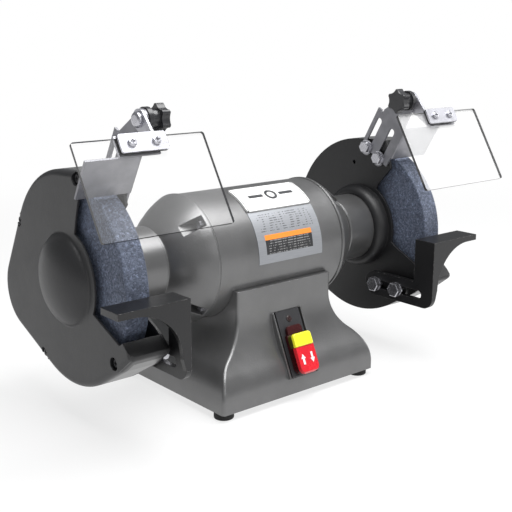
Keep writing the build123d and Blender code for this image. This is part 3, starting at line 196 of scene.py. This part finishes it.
class GrinderStudio(bpy.types.PropertyGroup):
    """Camera, floor and lights"""

    azimuth: FloatProperty(
        name="Azimuth", description="Camera's turn round the grinder", default=radians(-40), subtype="ANGLE"
    )
    elevation: FloatProperty(
        name="Elevation", description="Camera's height as an angle", default=radians(13.8), subtype="ANGLE"
    )
    distance: size("Distance", "From the camera to what it looks at", 1.0645)
    target: FloatVectorProperty(
        name="Target",
        description="What the camera looks at",
        subtype="TRANSLATION",
        default=(0.0169, 0.0, 0.1402),
    )
    lens: FloatProperty(name="Lens", description="Focal length in millimetres", default=64.0, min=10)
    floor: tint("Floor", "Colour of the floor", 0.86, 0.86, 0.86)
    floor_radius: size("Floor radius", "Radius of the floor", 6.0)
    key_light: power("Key light", "Power of the top softbox, in watts", 41.0)
    side_light: power("Side light", "Power of the right softbox, in watts", 7.0)
    front_light: power("Front light", "Power of the front softbox, in watts", 6.0)
    sky: share("Sky", "Brightness of the room that lights the grinder", 0.24)


# ------------------------------------------------------------------ finishes
class Wire:
    """One socket of a finish's nodes: arithmetic on it adds Math nodes."""

    def __init__(self, finish, socket):
        self.finish = finish
        self.socket = socket

    def math(self, operation, *values):
        """A Math node on these values."""
        return self.finish.node("Math", {"operation": operation}, dict(enumerate(values)))

    def __add__(self, other):
        return self.math("ADD", self, other)

    def __radd__(self, other):
        return self.math("ADD", other, self)

    def __sub__(self, other):
        return self.math("SUBTRACT", self, other)

    def __rsub__(self, other):
        return self.math("SUBTRACT", other, self)

    def __mul__(self, other):
        return self.math("MULTIPLY", self, other)

    def __rmul__(self, other):
        return self.math("MULTIPLY", other, self)

    def __truediv__(self, other):
        return self.math("DIVIDE", self, other)

    def __rtruediv__(self, other):
        return self.math("DIVIDE", other, self)

    def __abs__(self):
        return self.math("ABSOLUTE", self)

    def __lt__(self, other):
        return self.math("LESS_THAN", self, other)

    def __gt__(self, other):
        return self.math("GREATER_THAN", self, other)

    def span(self, low, high):
        """0 below low, 1 above high, and smooth between them."""
        settings = {"interpolation_type": "SMOOTHSTEP"}
        return self.finish.node("MapRange", settings, {"Value": self, "From Min": low, "From Max": high})

    def within(self, centre, half):
        """1 where this is within half of centre."""
        return abs(self - centre) < half

    def inside(self, band):
        """1 between the band's low and high ends."""
        return (self > band[0]) * (self < band[1])


class Finish:
    """A material being made from nodes."""

    def __init__(self, name):
        self.material = bpy.data.materials.new(name)
        self.material.use_nodes = True
        self.tree = self.material.node_tree
        self.tree.nodes.clear()
        self.coordinates = self.node("TexCoord", output="Object")

    def node(self, kind, settings=None, values=None, output=0):
        """Adds a node, with its settings first and then its sockets, and returns one of its outputs."""
        made = self.tree.nodes.new("ShaderNode" + kind)
        for key, value in (settings or {}).items():
            if key == "stops":
                for place, colour in value[1:-1]:
                    made.color_ramp.elements.new(place)
                for element, (place, colour) in zip(made.color_ramp.elements, value):
                    element.position = place
                    element.color = (*colour, 1)
            else:
                setattr(made, key, value)
        for key, value in (values or {}).items():
            if isinstance(value, Wire):
                self.tree.links.new(value.socket, made.inputs[key])
            elif hasattr(value, "__len__") and len(made.inputs[key].default_value) == 4:
                made.inputs[key].default_value = (*value[:3], 1)
            else:
                made.inputs[key].default_value = value
        return Wire(self, made.outputs[output])

    def stretched(self, scale, move=(0, 0, 0), turn=(0, 0, 0)):
        """Object coordinates, scaled along each axis."""
        values = {"Vector": self.coordinates, "Location": move, "Rotation": turn, "Scale": scale}
        return self.node("Mapping", {}, values)

    def noise(self, spacing, detail=2, roughness=0.5, place=None):
        """Cloudy noise whose lumps are about one spacing wide, in metres."""
        values = {
            "Vector": place or self.coordinates,
            "Scale": 1 / spacing,
            "Detail": detail,
            "Roughness": roughness,
        }
        return self.node("TexNoise", {}, values)

    def cells(self, spacing, output="Distance", feature="F1"):
        """Cells about one spacing wide, in metres."""
        values = {"Vector": self.coordinates, "Scale": 1 / spacing}
        return self.node("TexVoronoi", {"feature": feature}, values, output)

    def axes(self):
        """Object coordinates as three numbers."""
        split = self.node("SeparateXYZ", {}, {"Vector": self.coordinates})
        return [Wire(self, socket) for socket in split.socket.node.outputs]

    def blend(self, factor, first, second, mode="MIX"):
        """A colour between two, or one laid over the other."""
        values = {"Factor": factor, 6: first, 7: second}
        return self.node("Mix", {"data_type": "RGBA", "blend_type": mode}, values, 2)

    def rounded(self, radius):
        """Normals that turn smoothly over an edge."""
        return self.node("Bevel", {"samples": 4}, {"Radius": radius})

    def corners(self, radius):
        """1 on a sharp edge and 0 away from one."""
        values = {0: self.rounded(radius), 1: self.node("NewGeometry", output="Normal")}
        straight = self.node("VectorMath", {"operation": "DOT_PRODUCT"}, values, "Value")
        return (1 - straight).span(0.02, 0.25)

    def bump(self, height, depth, normal=None):
        """Normals of a surface whose height goes from 0 to depth, in metres."""
        values = {"Height": height, "Distance": depth, "Strength": 1.0}
        if normal:
            values["Normal"] = normal
        return self.node("Bump", {}, values)

    def end(self, shader):
        """Connects a shader to the output, and returns the finished material."""
        output = self.tree.nodes.new("ShaderNodeOutputMaterial")
        self.tree.links.new(shader.socket, output.inputs["Surface"])
        return self.material

    def surface(self, **values):
        """Ends the finish with one Principled shader, its sockets named with underscores for spaces."""
        sockets = {key.replace("_", " "): value for key, value in values.items()}
        return self.end(self.node("BsdfPrincipled", {}, sockets))


def lighter(colour, factor):
    """A colour scaled up or down."""
    return tuple(min(1.0, channel * factor) for channel in colour)


def sprayed_paint(name, colour, roughness, metal=0.0, edge=0.0, worn=0.0):
    """Satin sprayed paint: faint ripples, an uneven film, a painted highlight lightening its edges, and
    corners where it is worn.
    """
    detail = bpy.context.scene.grinder_detail
    finish = Finish(name)
    film = finish.noise(0.045, 3)
    dust = finish.noise(0.009, 5, 0.65)
    ripple = finish.noise(detail.peel, 2)
    shade = finish.blend(film.span(0.3, 0.7), lighter(colour, 0.93), lighter(colour, 1.07))
    shade = finish.blend(dust.span(0.55, 0.8) * 0.25, shade, lighter(colour, 1.25))
    if edge:
        # painted highlight: the colour is lightened along sharp edges
        corner = finish.corners(edge)
        shade = finish.blend(corner * 0.35, shade, lighter(colour, 1.5))
    if worn:
        chips = finish.noise(0.0035, 4, 0.7)
        rubbed = (corner * (chips.span(0.48, 0.62) * worn)).span(0.1, 0.3)
        shade = finish.blend(rubbed, shade, (0.32, 0.31, 0.30))
    rough = roughness + (film - 0.5) * 0.12 + (dust - 0.5) * 0.10
    lumps = ripple * 0.55 + dust * 0.45
    relief = finish.bump(lumps, 0.00018, finish.rounded(edge) if edge else None)
    return finish.surface(Base_Color=shade, Roughness=rough, Metallic=metal, Normal=relief)


def brushed_metal(name, colour, roughness, grain=(1, 1, 1), spots=0.15):
    """Bright metal with fine rolling or turning marks and a few dull spots."""
    detail = bpy.context.scene.grinder_detail
    finish = Finish(name)
    marks = finish.noise(0.0009, 3, 0.6, finish.stretched(grain))
    cloud = finish.noise(0.014, 4)
    dull = finish.noise(0.004, 4, 0.7).span(0.58, 0.74) * spots
    shade = finish.blend(cloud.span(0.3, 0.7), lighter(colour, 0.88), lighter(colour, 1.1))
    shade = finish.blend(dull, shade, lighter(colour, 0.55))
    rough = roughness + (marks - 0.5) * 0.18 + (cloud - 0.5) * 0.12 + dull * 0.3
    relief = finish.bump(marks, 0.00003, finish.rounded(detail.sheet_edge))
    return finish.surface(Base_Color=shade, Roughness=rough, Metallic=0.95, Normal=relief)


def moulding(name, colour, roughness, texture=0.00008, coat=0.0, shade_below=None):
    """Moulded plastic or rubber with a fine texture and scuffs, with painted shade near black on its sides
    below a given height along the switch's outward axis.
    """
    finish = Finish(name)
    pits = finish.noise(0.0007, 3, 0.6)
    scuff = finish.noise(0.012, 5, 0.7)
    shade = finish.blend(scuff.span(0.4, 0.75) * 0.5, colour, lighter(colour, 1.35))
    if shade_below:
        # painted shade: below this height the sides of the paddle and the key are darkened to near black
        along = {0: finish.coordinates, 1: switch_out}
        height = finish.node("VectorMath", {"operation": "DOT_PRODUCT"}, along, "Value")
        shown = height.span(shade_below - SHADE_SOFTNESS, shade_below + SHADE_SOFTNESS)
        shade = finish.blend(shown, lighter(colour, 0.06), shade)
    rough = roughness + (scuff - 0.5) * 0.16 + (pits - 0.5) * 0.08
    relief = finish.bump(pits, texture, finish.rounded(0.0005))
    return finish.surface(Base_Color=shade, Roughness=rough, Normal=relief, Coat_Weight=coat)


def coat(material, *names):
    """Gives CAD nodes a finish."""
    for name in names:
        slots = nodes[name].material_slots
        if not slots:
            nodes[name].data.materials.append(material)
        for slot in slots:
            slot.material = material


def sides(name):
    """The names of a piece's left and right nodes."""
    return name + "_left", name + "_right"


# ------------------------------------------------------------------ built pieces
def finished(name, mesh, material, body, place=None, soft=0.0):
    """Turns a bmesh into a piece that rides on a body."""
    if place is not None:
        bmesh.ops.transform(mesh, matrix=place, verts=mesh.verts)
    bmesh.ops.recalc_face_normals(mesh, faces=mesh.faces)
    data = bpy.data.meshes.new(name)
    mesh.to_mesh(data)
    mesh.free()
    data.materials.append(material)
    piece = bpy.data.objects.new(name, data)
    bpy.context.scene.collection.objects.link(piece)
    if soft:
        edge = piece.modifiers.new("soft edges", "BEVEL")
        edge.width = soft
        edge.segments = 2
        edge.limit_method = "ANGLE"
        edge.angle_limit = radians(35)
    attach(piece, body)
    return piece


def plate(mesh, outline, thickness, move=(0, 0, 0)):
    """A flat plate of this outline, from z 0 up."""
    corners = [mesh.verts.new((x, y, 0)) for x, y in outline]
    face = mesh.faces.new(corners)
    grown = bmesh.ops.extrude_face_region(mesh, geom=[face])
    lifted = [item for item in grown["geom"] if isinstance(item, bmesh.types.BMVert)]
    bmesh.ops.translate(mesh, vec=(0, 0, thickness), verts=lifted)
    bmesh.ops.translate(mesh, vec=move, verts=corners + lifted)


def bar(mesh, width, height, thickness, move=(0, 0, 0)):
    """A flat bar centred on a point."""
    x, y = width / 2, height / 2
    plate(mesh, [(-x, -y), (x, -y), (x, y), (-x, y)], thickness, move)


def ring(mesh, outer, inner, thickness, move=(0, 0, 0), segments=48):
    """A flat ring, from z 0 up, turned from its section."""
    section = [(inner, 0), (outer, 0), (outer, thickness), (inner, thickness)]
    corners = [mesh.verts.new((x, 0, z)) for x, z in section]
    edges = [mesh.edges.new((corners[i], corners[(i + 1) % 4])) for i in range(4)]
    before = set(mesh.verts)
    bmesh.ops.spin(
        mesh,
        geom=corners + edges,
        cent=(0, 0, 0),
        axis=(0, 0, 1),
        angle=2 * pi,
        steps=segments,
        use_merge=True,
    )
    made = [vertex for vertex in mesh.verts if vertex not in before] + corners
    bmesh.ops.translate(mesh, vec=move, verts=list({v for v in made if v.is_valid}))


def wrapped(mesh, radius):
    """Bends a flat drawing of x and arc length onto the motor shell."""
    for vertex in mesh.verts:
        x, arc, height = vertex.co
        angle = arc / radius
        out = radius + height
        vertex.co = (x, axle.y - out * cos(angle), axle.z + out * sin(angle))


class GRINDER_OT_castings(bpy.types.Operator):
    """Paints the base, the motor and the guard bands satin grey"""

    bl_idname = "grinder.castings"
    bl_label = "Castings"

    def execute(self, context):
        paints = context.scene.grinder_paints
        detail = context.scene.grinder_detail
        grey = sprayed_paint("satin_grey_paint", paints.casting, 0.34, 0.72, detail.paint_edge)
        coat(grey, "base_casting", "motor_shell", *sides("end_bell"), *sides("guard_band"))
        return {"FINISHED"}


class GRINDER_OT_covers(bpy.types.Operator):
    """Paints the wheel covers charcoal and the inner guard plates black"""

    bl_idname = "grinder.covers"
    bl_label = "Guard covers and plates"

    def execute(self, context):
        paints = context.scene.grinder_paints
        detail = context.scene.grinder_detail
        charcoal = sprayed_paint("charcoal_paint", paints.cover, 0.40, 0.25, detail.paint_edge)
        black = sprayed_paint("black_guard_paint", paints.black, 0.46, 0.0, detail.paint_edge)
        coat(charcoal, *sides("guard_cover"))
        coat(black, *sides("guard_plate"))
        return {"FINISHED"}


class GRINDER_OT_rests(bpy.types.Operator):
    """Paints the tool rests black, with a painted highlight along their edges and corners worn by work"""

    bl_idname = "grinder.rests"
    bl_label = "Tool rests"

    def execute(self, context):
        paints = context.scene.grinder_paints
        detail = context.scene.grinder_detail
        black = sprayed_paint("tool_rest_paint", paints.black, 0.33, 0.0, 0.0008, detail.wear)
        coat(black, *sides("tool_rest"))
        return {"FINISHED"}


class GRINDER_OT_wheels(bpy.types.Operator):
    """Gives the grinding wheels their bonded grain, and finishes what clamps them"""

    bl_idname = "grinder.wheels"
    bl_label = "Grinding wheels"

    def execute(self, context):
        paints = context.scene.grinder_paints
        grain = context.scene.grinder_detail.grain
        finish = Finish("bonded_grain")
        tone = finish.node("SeparateColor", {}, {"Color": finish.cells(grain, "Color")})
        lumps = finish.cells(grain)
        clump = finish.noise(grain * 2.6, 3)
        stops = [
            (0.0, lighter(paints.grit, 0.45)),
            (0.35, lighter(paints.grit, 0.8)),
            (0.65, lighter(paints.grit, 1.15)),
            (0.86, lighter(paints.grit, 1.6)),
            (1.0, lighter(paints.grit, 3.2)),
        ]
        mixed = tone * 0.7 + clump * 0.55 - 0.12
        shade = finish.node("ValToRGB", {"stops": stops}, {"Fac": mixed})
        pores = finish.noise(grain * 0.9, 2).span(0.62, 0.72)
        shade = finish.blend(pores * 0.7, shade, lighter(paints.grit, 0.2))
        relief = finish.bump(1 - lumps - pores * 0.6, 0.0005)
        rough = 0.78 - tone * 0.25
        coat(finish.surface(Base_Color=shade, Roughness=rough, Normal=relief), *sides("grinding_wheel"))

        card = Finish("blotter_card")
        fibres = card.noise(0.0012, 4, 0.7)
        tan = card.blend(fibres, (0.16, 0.11, 0.05), (0.30, 0.22, 0.12))
        relief = card.bump(fibres, 0.0001)
        coat(card.surface(Base_Color=tan, Roughness=0.9, Normal=relief), "wheel_blotters")
        turned = brushed_metal("turned_steel", lighter(paints.zinc, 1.6), 0.32, (0.15, 1, 1))
        coat(turned, "wheel_flanges", "arbor_nuts", "shaft")
        return {"FINISHED"}


class GRINDER_OT_brackets(bpy.types.Operator):
    """Finishes the zinc brackets, clamp plates and fasteners"""

    bl_idname = "grinder.brackets"
    bl_label = "Brackets and fasteners"

    def execute(self, context):
        paints = context.scene.grinder_paints
        sheet = brushed_metal("zinc_sheet", paints.zinc, 0.44, (0.12, 1, 1))
        bright = brushed_metal("zinc_hardware", lighter(paints.zinc, 1.8), 0.26, spots=0.25)
        dark = brushed_metal("black_oxide", (0.035, 0.035, 0.038), 0.38)
        plated = brushed_metal("bright_zinc", lighter(paints.zinc, 1.8), 0.42, (0.12, 1, 1), 0.1)
        coat(sheet, *sides("spark_guard"), "base_plate")
        coat(plated, *sides("shield_clamp"), *sides("shield_arm"))
        coat(bright, "spark_guard_bolts", "tool_rest_bolts", *sides("pivot_bolt"), *sides("shield_screws"))
        coat(bright, "base_plate_screws", "saddle_bolts", "through_bolts")
        coat(dark, "guard_cover_screws", "guard_plate_screws")
        return {"FINISHED"}


class GRINDER_OT_shields(bpy.types.Operator):
    """Makes the eye shields clear, with their edge faces painted opaque and near black as painted shade, in
    place of the light refracted and reflected inside the sheet
    """

    bl_idname = "grinder.shields"
    bl_label = "Eye shields"

    def execute(self, context):
        paints = context.scene.grinder_paints
        haze = context.scene.grinder_detail.haze
        finish = Finish("clear_sheet")
        outward = (0, -cos(SHIELD_LEAN), sin(SHIELD_LEAN))
        values = {0: finish.node("TexCoord", output="Normal"), 1: outward}
        facing = abs(finish.node("VectorMath", {"operation": "DOT_PRODUCT"}, values, "Value"))
        # painted shade: faces that are not square to the sheet's face, its edges, are made opaque and near
        # black
        rim = facing < SHIELD_FACE
        scratches = finish.noise(0.0015, 5, 0.8, finish.stretched((1, 0.06, 0.06))).span(0.60, 0.72)
        smears = finish.noise(0.03, 4, 0.6).span(0.4, 0.8)
        shine = finish.node("Fresnel", {}, {"IOR": 1.45})
        body = shine * 0.45 + haze + smears * 0.012 + scratches * 0.02 + rim
        skin = {
            "Base Color": finish.blend(rim, paints.clear, (0.03, 0.03, 0.032)),
            "Roughness": 0.06 + smears * 0.06 + scratches * 0.2,
            "Coat Weight": 0.2,
        }
        plain = finish.node("BsdfTransparent", {}, {"Color": (0.99, 0.99, 0.99)})
        mixed = finish.node(
            "MixShader",
            {},
            {0: body, 1: plain, 2: finish.node("BsdfPrincipled", {}, skin)},
        )
        coat(finish.end(mixed), *sides("eye_shield"))
        rubber = moulding("sheet_rubber", paints.rubber, 0.75, 0.00012)
        coat(rubber, *sides("shield_gasket"))
        return {"FINISHED"}


class GRINDER_OT_fittings(bpy.types.Operator):
    """Finishes the knobs, the feet and the cord gland"""

    bl_idname = "grinder.fittings"
    bl_label = "Knobs, feet and gland"

    def execute(self, context):
        paints = context.scene.grinder_paints
        knob = moulding("phenolic_knob", lighter(paints.plastic, 1.2), 0.30, 0.00004, 0.2)
        foot = moulding("foot_rubber", paints.rubber, 0.8, 0.00015)
        nylon = moulding("gland_nylon", paints.plastic, 0.5)
        coat(knob, *sides("knob"))
        coat(foot, "rubber_feet")
        coat(nylon, "cord_gland")
        return {"FINISHED"}


class GRINDER_OT_switch(bpy.types.Operator):
    """Finishes the switch, and raises the arrows on its paddle"""

    bl_idname = "grinder.switch"
    bl_label = "Switch"

    def execute(self, context):
        paints = context.scene.grinder_paints
        length = context.scene.grinder_detail.arrow
        surround = moulding("switch_surround", lighter(paints.plastic, 1.2), 0.42, 0.00006)
        face = reach("switch_paddle", switch_out)
        key_face = reach("safety_key", switch_out)
        # the paddle and the key get painted shade on their sides, this far below their faces
        red = moulding("paddle_red", paints.paddle, 0.26, 0.00003, 0.35, face - PADDLE_SHADE_DEPTH)
        yellow = moulding("key_yellow", paints.key, 0.30, 0.00003, 0.3, key_face - KEY_SHADE_DEPTH)
        white = moulding("arrow_white", (0.84, 0.72, 0.72), 0.4, 0.00002)
        coat(surround, "switch_plate", "switch_housing")
        coat(red, "switch_paddle")
        coat(yellow, "safety_key")

        lens = Finish("indicator_red")
        rings = lens.cells(0.0012)
        tone = lens.blend(rings.span(0.1, 0.5), (0.050, 0.008, 0.008), (0.016, 0.004, 0.004))
        relief = lens.bump(rings, 0.0002)
        glassy = lens.surface(Base_Color=tone, Roughness=0.12, Normal=relief, Coat_Weight=0.8)
        coat(glassy, "indicator_lens")

        low = -reach("switch_paddle", -switch_up)
        mesh = bmesh.new()
        half, stem, barb, neck = 0.5 * length, 0.12 * length, 0.28 * length, 0.05 * length
        for side, way in ((-1, 1), (1, -1)):
            outline = [
                (-stem, -half * way),
                (stem, -half * way),
                (stem, neck * way),
                (barb, neck * way),
                (0, half * way),
                (-barb, neck * way),
                (-stem, neck * way),
            ]
            plate(mesh, outline, ARROW_THICKNESS, (side * ARROW_X, 0, 0))
        origin = switch_out * (face - ARROW_SUNK) + switch_up * (low + ARROW_UP)
        place = square_to(origin, (1, 0, 0), switch_up)
        finished("paddle_arrows", mesh, white, "paddle", place, 0.08 * MM)
        return {"FINISHED"}


class GRINDER_OT_labels(bpy.types.Operator):
    """Finishes the badge and the rating plate, and raises a plain ring and bars on the badge"""

    bl_idname = "grinder.labels"
    bl_label = "Badge and rating plate"

    def execute(self, context):
        paints = context.scene.grinder_paints
        radius = context.scene.grinder_detail.emblem

        badge = Finish("badge_enamel")
        across = abs(badge.axes()[0] - label_middle)
        mottle = badge.noise(0.004, 4)
        white = badge.blend(mottle * 0.2, paints.badge, lighter(paints.badge, 0.85))
        border = across.span(label_half - BADGE_LINE_IN[1], label_half - BADGE_LINE_IN[0])
        outside = across.span(label_half - BADGE_LINE_OUT[1], label_half - BADGE_LINE_OUT[0])
        border = border * (1 - outside)
        face = badge.blend(border, white, (0.05, 0.05, 0.055))
        rough = 0.3 + mottle * 0.12
        relief = badge.rounded(0.0006)
        enamel = badge.surface(Base_Color=face, Roughness=rough, Coat_Weight=0.4, Normal=relief)
        coat(enamel, "badge_plate")

        foil = Finish("rating_foil")
        x, y, z = foil.axes()
        angle = x.math("ARCTAN2", z - axle.z, axle.y - y) * (180 / pi)
        brushing = foil.noise(0.0007, 3, 0.6, foil.stretched((0.05, 1, 1)))
        ground = foil.blend(brushing, lighter(paints.foil, 0.85), lighter(paints.foil, 1.2))
        across = x - label_middle
        rows = angle.math("FRACT", angle / ROW_PITCH).within(0.5, ROW_HALF)
        words = foil.noise(0.0026, 1, 0.5, foil.stretched((1, 0.2, 0.2))) > 0.5
        header = rows * words * angle.inside(HEADER_BAND) * (abs(across) < HEADER_HALF)
        ink = foil.blend(header * 0.75, ground, (0.03, 0.03, 0.035))
        panel = angle.inside(PANEL_BAND) * across.within(PANEL_X, PANEL_HALF)
        strip = angle.inside(STRIP_BAND) * across.within(PANEL_X, PANEL_HALF)
        ink = foil.blend(panel, ink, (0.022, 0.022, 0.024))
        ink = foil.blend(strip, ink, (0.85, 0.25, 0.03))
        lines = panel * rows * (foil.noise(0.002, 1, 0.5, foil.stretched((1, 0.2, 0.2))) > 0.47)
        lines = lines * across.within(PANEL_X, LINES_HALF)
        ink = foil.blend(lines * 0.55, ink, (0.45, 0.45, 0.45))
        rough = 0.36 + brushing * 0.12
        metal = (1 - panel) * (1 - strip) * 0.45
        coat(foil.surface(Base_Color=ink, Roughness=rough, Metallic=metal), "rating_plate")

        charcoal = moulding("emblem_charcoal", (0.035, 0.036, 0.040), 0.35, 0.00002, 0.2)
        outward = Vector((0, -cos(EMBLEM_ANGLE), sin(EMBLEM_ANGLE)))
        top = reach("badge_plate", outward) - axle.dot(outward)
        mesh = bmesh.new()
        ring(mesh, radius, radius - EMBLEM_RIM, EMBLEM_HEIGHT)
        for side in (-1, 1):
            bar(mesh, *EMBLEM_BAR, EMBLEM_HEIGHT, (side * EMBLEM_BAR_X, 0, 0))
        middle = (label_middle, EMBLEM_ANGLE * top, -EMBLEM_SUNK)
        bmesh.ops.translate(mesh, vec=middle, verts=mesh.verts)
        wrapped(mesh, top)
        finished("badge_emblem", mesh, charcoal, "machine")
        return {"FINISHED"}


class GRINDER_OT_insides(bpy.types.Operator):
    """Finishes the motor's inner parts, the bearings and the capacitor"""

    bl_idname = "grinder.insides"
    bl_label = "Inner parts"

    def execute(self, context):
        paints = context.scene.grinder_paints
        iron = Finish("laminated_iron")
        x = iron.axes()[0]
        sheets = x.math("FRACT", x / LAMINATION).within(0.5, 0.36)
        rust = iron.noise(0.006, 4, 0.7)
        tone = iron.blend(rust.span(0.5, 0.8), (0.16, 0.16, 0.17), (0.14, 0.09, 0.06))
        tone = iron.blend(1 - sheets, tone, (0.04, 0.04, 0.04))
        relief = iron.bump(sheets, 0.0001)
        laminated = iron.surface(Base_Color=tone, Roughness=0.5, Metallic=0.8, Normal=relief)
        coat(laminated, "stator_core", "rotor_core")

        copper = Finish("enamelled_copper")
        strands = copper.noise(0.001, 2, 0.5, copper.stretched((1, 0.3, 0.3)))
        tone = copper.blend(strands, (0.22, 0.06, 0.02), (0.50, 0.20, 0.08))
        relief = copper.bump(strands, 0.0003)
        coat(copper.surface(Base_Color=tone, Roughness=0.3, Metallic=0.7, Normal=relief), "stator_windings")

        cast = brushed_metal("cast_aluminium", (0.55, 0.55, 0.56), 0.48, spots=0.3)
        polished = brushed_metal("bearing_steel", (0.65, 0.65, 0.66), 0.14, (0.2, 1, 1), 0.05)
        can = brushed_metal("drawn_can", (0.60, 0.60, 0.62), 0.30, (0.1, 1, 1), 0.05)
        coat(cast, "rotor_end_rings")
        coat(polished, "bearing_inner_rings", "bearing_outer_rings", "bearing_balls")
        coat(can, "capacitor")
        return {"FINISHED"}


class GRINDER_OT_studio(bpy.types.Operator):
    """Sets the floor, the softboxes and the camera"""

    bl_idname = "grinder.studio"
    bl_label = "Studio"

    def execute(self, context):
        studio = context.scene.grinder_studio
        scene = context.scene
        target = Vector(studio.target)

        mesh = bmesh.new()
        bmesh.ops.create_circle(mesh, cap_ends=True, segments=96, radius=studio.floor_radius)
        data = bpy.data.meshes.new("floor")
        mesh.to_mesh(data)
        mesh.free()
        floor = bpy.data.objects.new("floor", data)
        scene.collection.objects.link(floor)
        finish = Finish("floor_white")
        cloud = finish.noise(0.4, 2)
        tone = finish.blend(cloud * 0.06, studio.floor, lighter(studio.floor, 0.9))
        away = finish.node("VectorMath", {"operation": "LENGTH"}, {0: finish.coordinates}, "Value")
        lit = finish.node("BsdfPrincipled", {}, {"Base Color": tone, "Roughness": 0.55})
        glow = finish.node("Emission", {}, {"Color": (1, 1, 1), "Strength": 1.0})
        mixed = finish.node("MixShader", {}, {0: 0.74 + away.span(0.4, 1.6) * 0.26, 1: lit, 2: glow})
        data.materials.append(finish.end(mixed))

        def softbox(name, place, aim, width, height, power):
            """A rectangular area light that faces a point."""
            lamp = bpy.data.lights.new(name, "AREA")
            lamp.shape = "RECTANGLE"
            lamp.size = width
            lamp.size_y = height
            lamp.energy = power
            light = bpy.data.objects.new(name, lamp)
            light.location = place
            light.rotation_euler = (Vector(aim) - Vector(place)).to_track_quat("-Z", "Y").to_euler()
            scene.collection.objects.link(light)

        softbox("top_softbox", (0.1, -0.35, 1.5), (0, 0, 0.1), 1.6, 1.1, studio.key_light)
        softbox("right_softbox", (1.5, -0.5, 0.7), (0, 0, 0.15), 1.0, 1.0, studio.side_light)
        softbox("front_softbox", (-0.1, -1.9, 0.9), (0, 0, 0.15), 1.4, 0.8, studio.front_light)

        world = bpy.data.worlds.new("room")
        scene.world = world
        world.use_nodes = True
        tree = world.node_tree
        tree.nodes.clear()
        shown = tree.nodes.new("ShaderNodeBackground")
        shown.inputs["Color"].default_value = (1, 1, 1, 1)
        shown.inputs["Strength"].default_value = 1.0
        lighting = tree.nodes.new("ShaderNodeBackground")
        lighting.inputs["Color"].default_value = (0.96, 0.98, 1.0, 1)
        lighting.inputs["Strength"].default_value = studio.sky
        seen = tree.nodes.new("ShaderNodeLightPath")
        either = tree.nodes.new("ShaderNodeMixShader")
        end = tree.nodes.new("ShaderNodeOutputWorld")
        tree.links.new(seen.outputs["Is Camera Ray"], either.inputs[0])
        tree.links.new(lighting.outputs[0], either.inputs[1])
        tree.links.new(shown.outputs[0], either.inputs[2])
        tree.links.new(either.outputs[0], end.inputs["Surface"])

        turn, rise = studio.azimuth, studio.elevation
        back = Vector((sin(turn) * cos(rise), -cos(turn) * cos(rise), sin(rise)))
        lens = bpy.data.cameras.new("camera")
        lens.lens = studio.lens
        lens.sensor_width = 36
        lens.clip_start = 0.05
        camera = bpy.data.objects.new("camera", lens)
        camera.location = target + back * studio.distance
        camera.rotation_euler = (-back).to_track_quat("-Z", "Y").to_euler()
        scene.collection.objects.link(camera)
        scene.camera = camera
        scene.view_settings.view_transform = "Standard"
        scene.view_settings.look = "None"
        return {"FINISHED"}


class GRINDER_PT_sidebar(bpy.types.Panel):
    """Lists the grinder's operators and settings"""

    bl_label = "Bench grinder"
    bl_idname = "GRINDER_PT_sidebar"
    bl_space_type = "VIEW_3D"
    bl_region_type = "UI"
    bl_category = "Grinder"

    def draw(self, context):
        layout = self.layout
        for operator in OPERATORS:
            layout.operator(operator.bl_idname)
        for group in ("grinder_paints", "grinder_detail", "grinder_studio"):
            settings = getattr(context.scene, group)
            box = layout.box()
            for name in settings.bl_rna.properties.keys():
                if name not in ("rna_type", "name"):
                    box.prop(settings, name)


OPERATORS = (
    GRINDER_OT_studio,
    GRINDER_OT_castings,
    GRINDER_OT_covers,
    GRINDER_OT_rests,
    GRINDER_OT_wheels,
    GRINDER_OT_brackets,
    GRINDER_OT_shields,
    GRINDER_OT_fittings,
    GRINDER_OT_switch,
    GRINDER_OT_labels,
    GRINDER_OT_insides,
)
GROUPS = {
    "grinder_paints": GrinderPaints,
    "grinder_detail": GrinderDetail,
    "grinder_studio": GrinderStudio,
}


def register():
    for group in GROUPS.values():
        bpy.utils.register_class(group)
    for name, group in GROUPS.items():
        setattr(bpy.types.Scene, name, PointerProperty(type=group))
    for operator in OPERATORS:
        bpy.utils.register_class(operator)
    bpy.utils.register_class(GRINDER_PT_sidebar)


def unregister():
    bpy.utils.unregister_class(GRINDER_PT_sidebar)
    for operator in reversed(OPERATORS):
        bpy.utils.unregister_class(operator)
    for name, group in GROUPS.items():
        delattr(bpy.types.Scene, name)
        bpy.utils.unregister_class(group)


def main():
    register()
    bpy.ops.grinder.studio()
    bpy.ops.grinder.castings()
    bpy.ops.grinder.covers()
    bpy.ops.grinder.rests()
    bpy.ops.grinder.wheels()
    bpy.ops.grinder.brackets()
    bpy.ops.grinder.shields()
    bpy.ops.grinder.fittings()
    bpy.ops.grinder.switch()
    bpy.ops.grinder.labels()
    bpy.ops.grinder.insides()


if __name__ == "__main__":
    main()
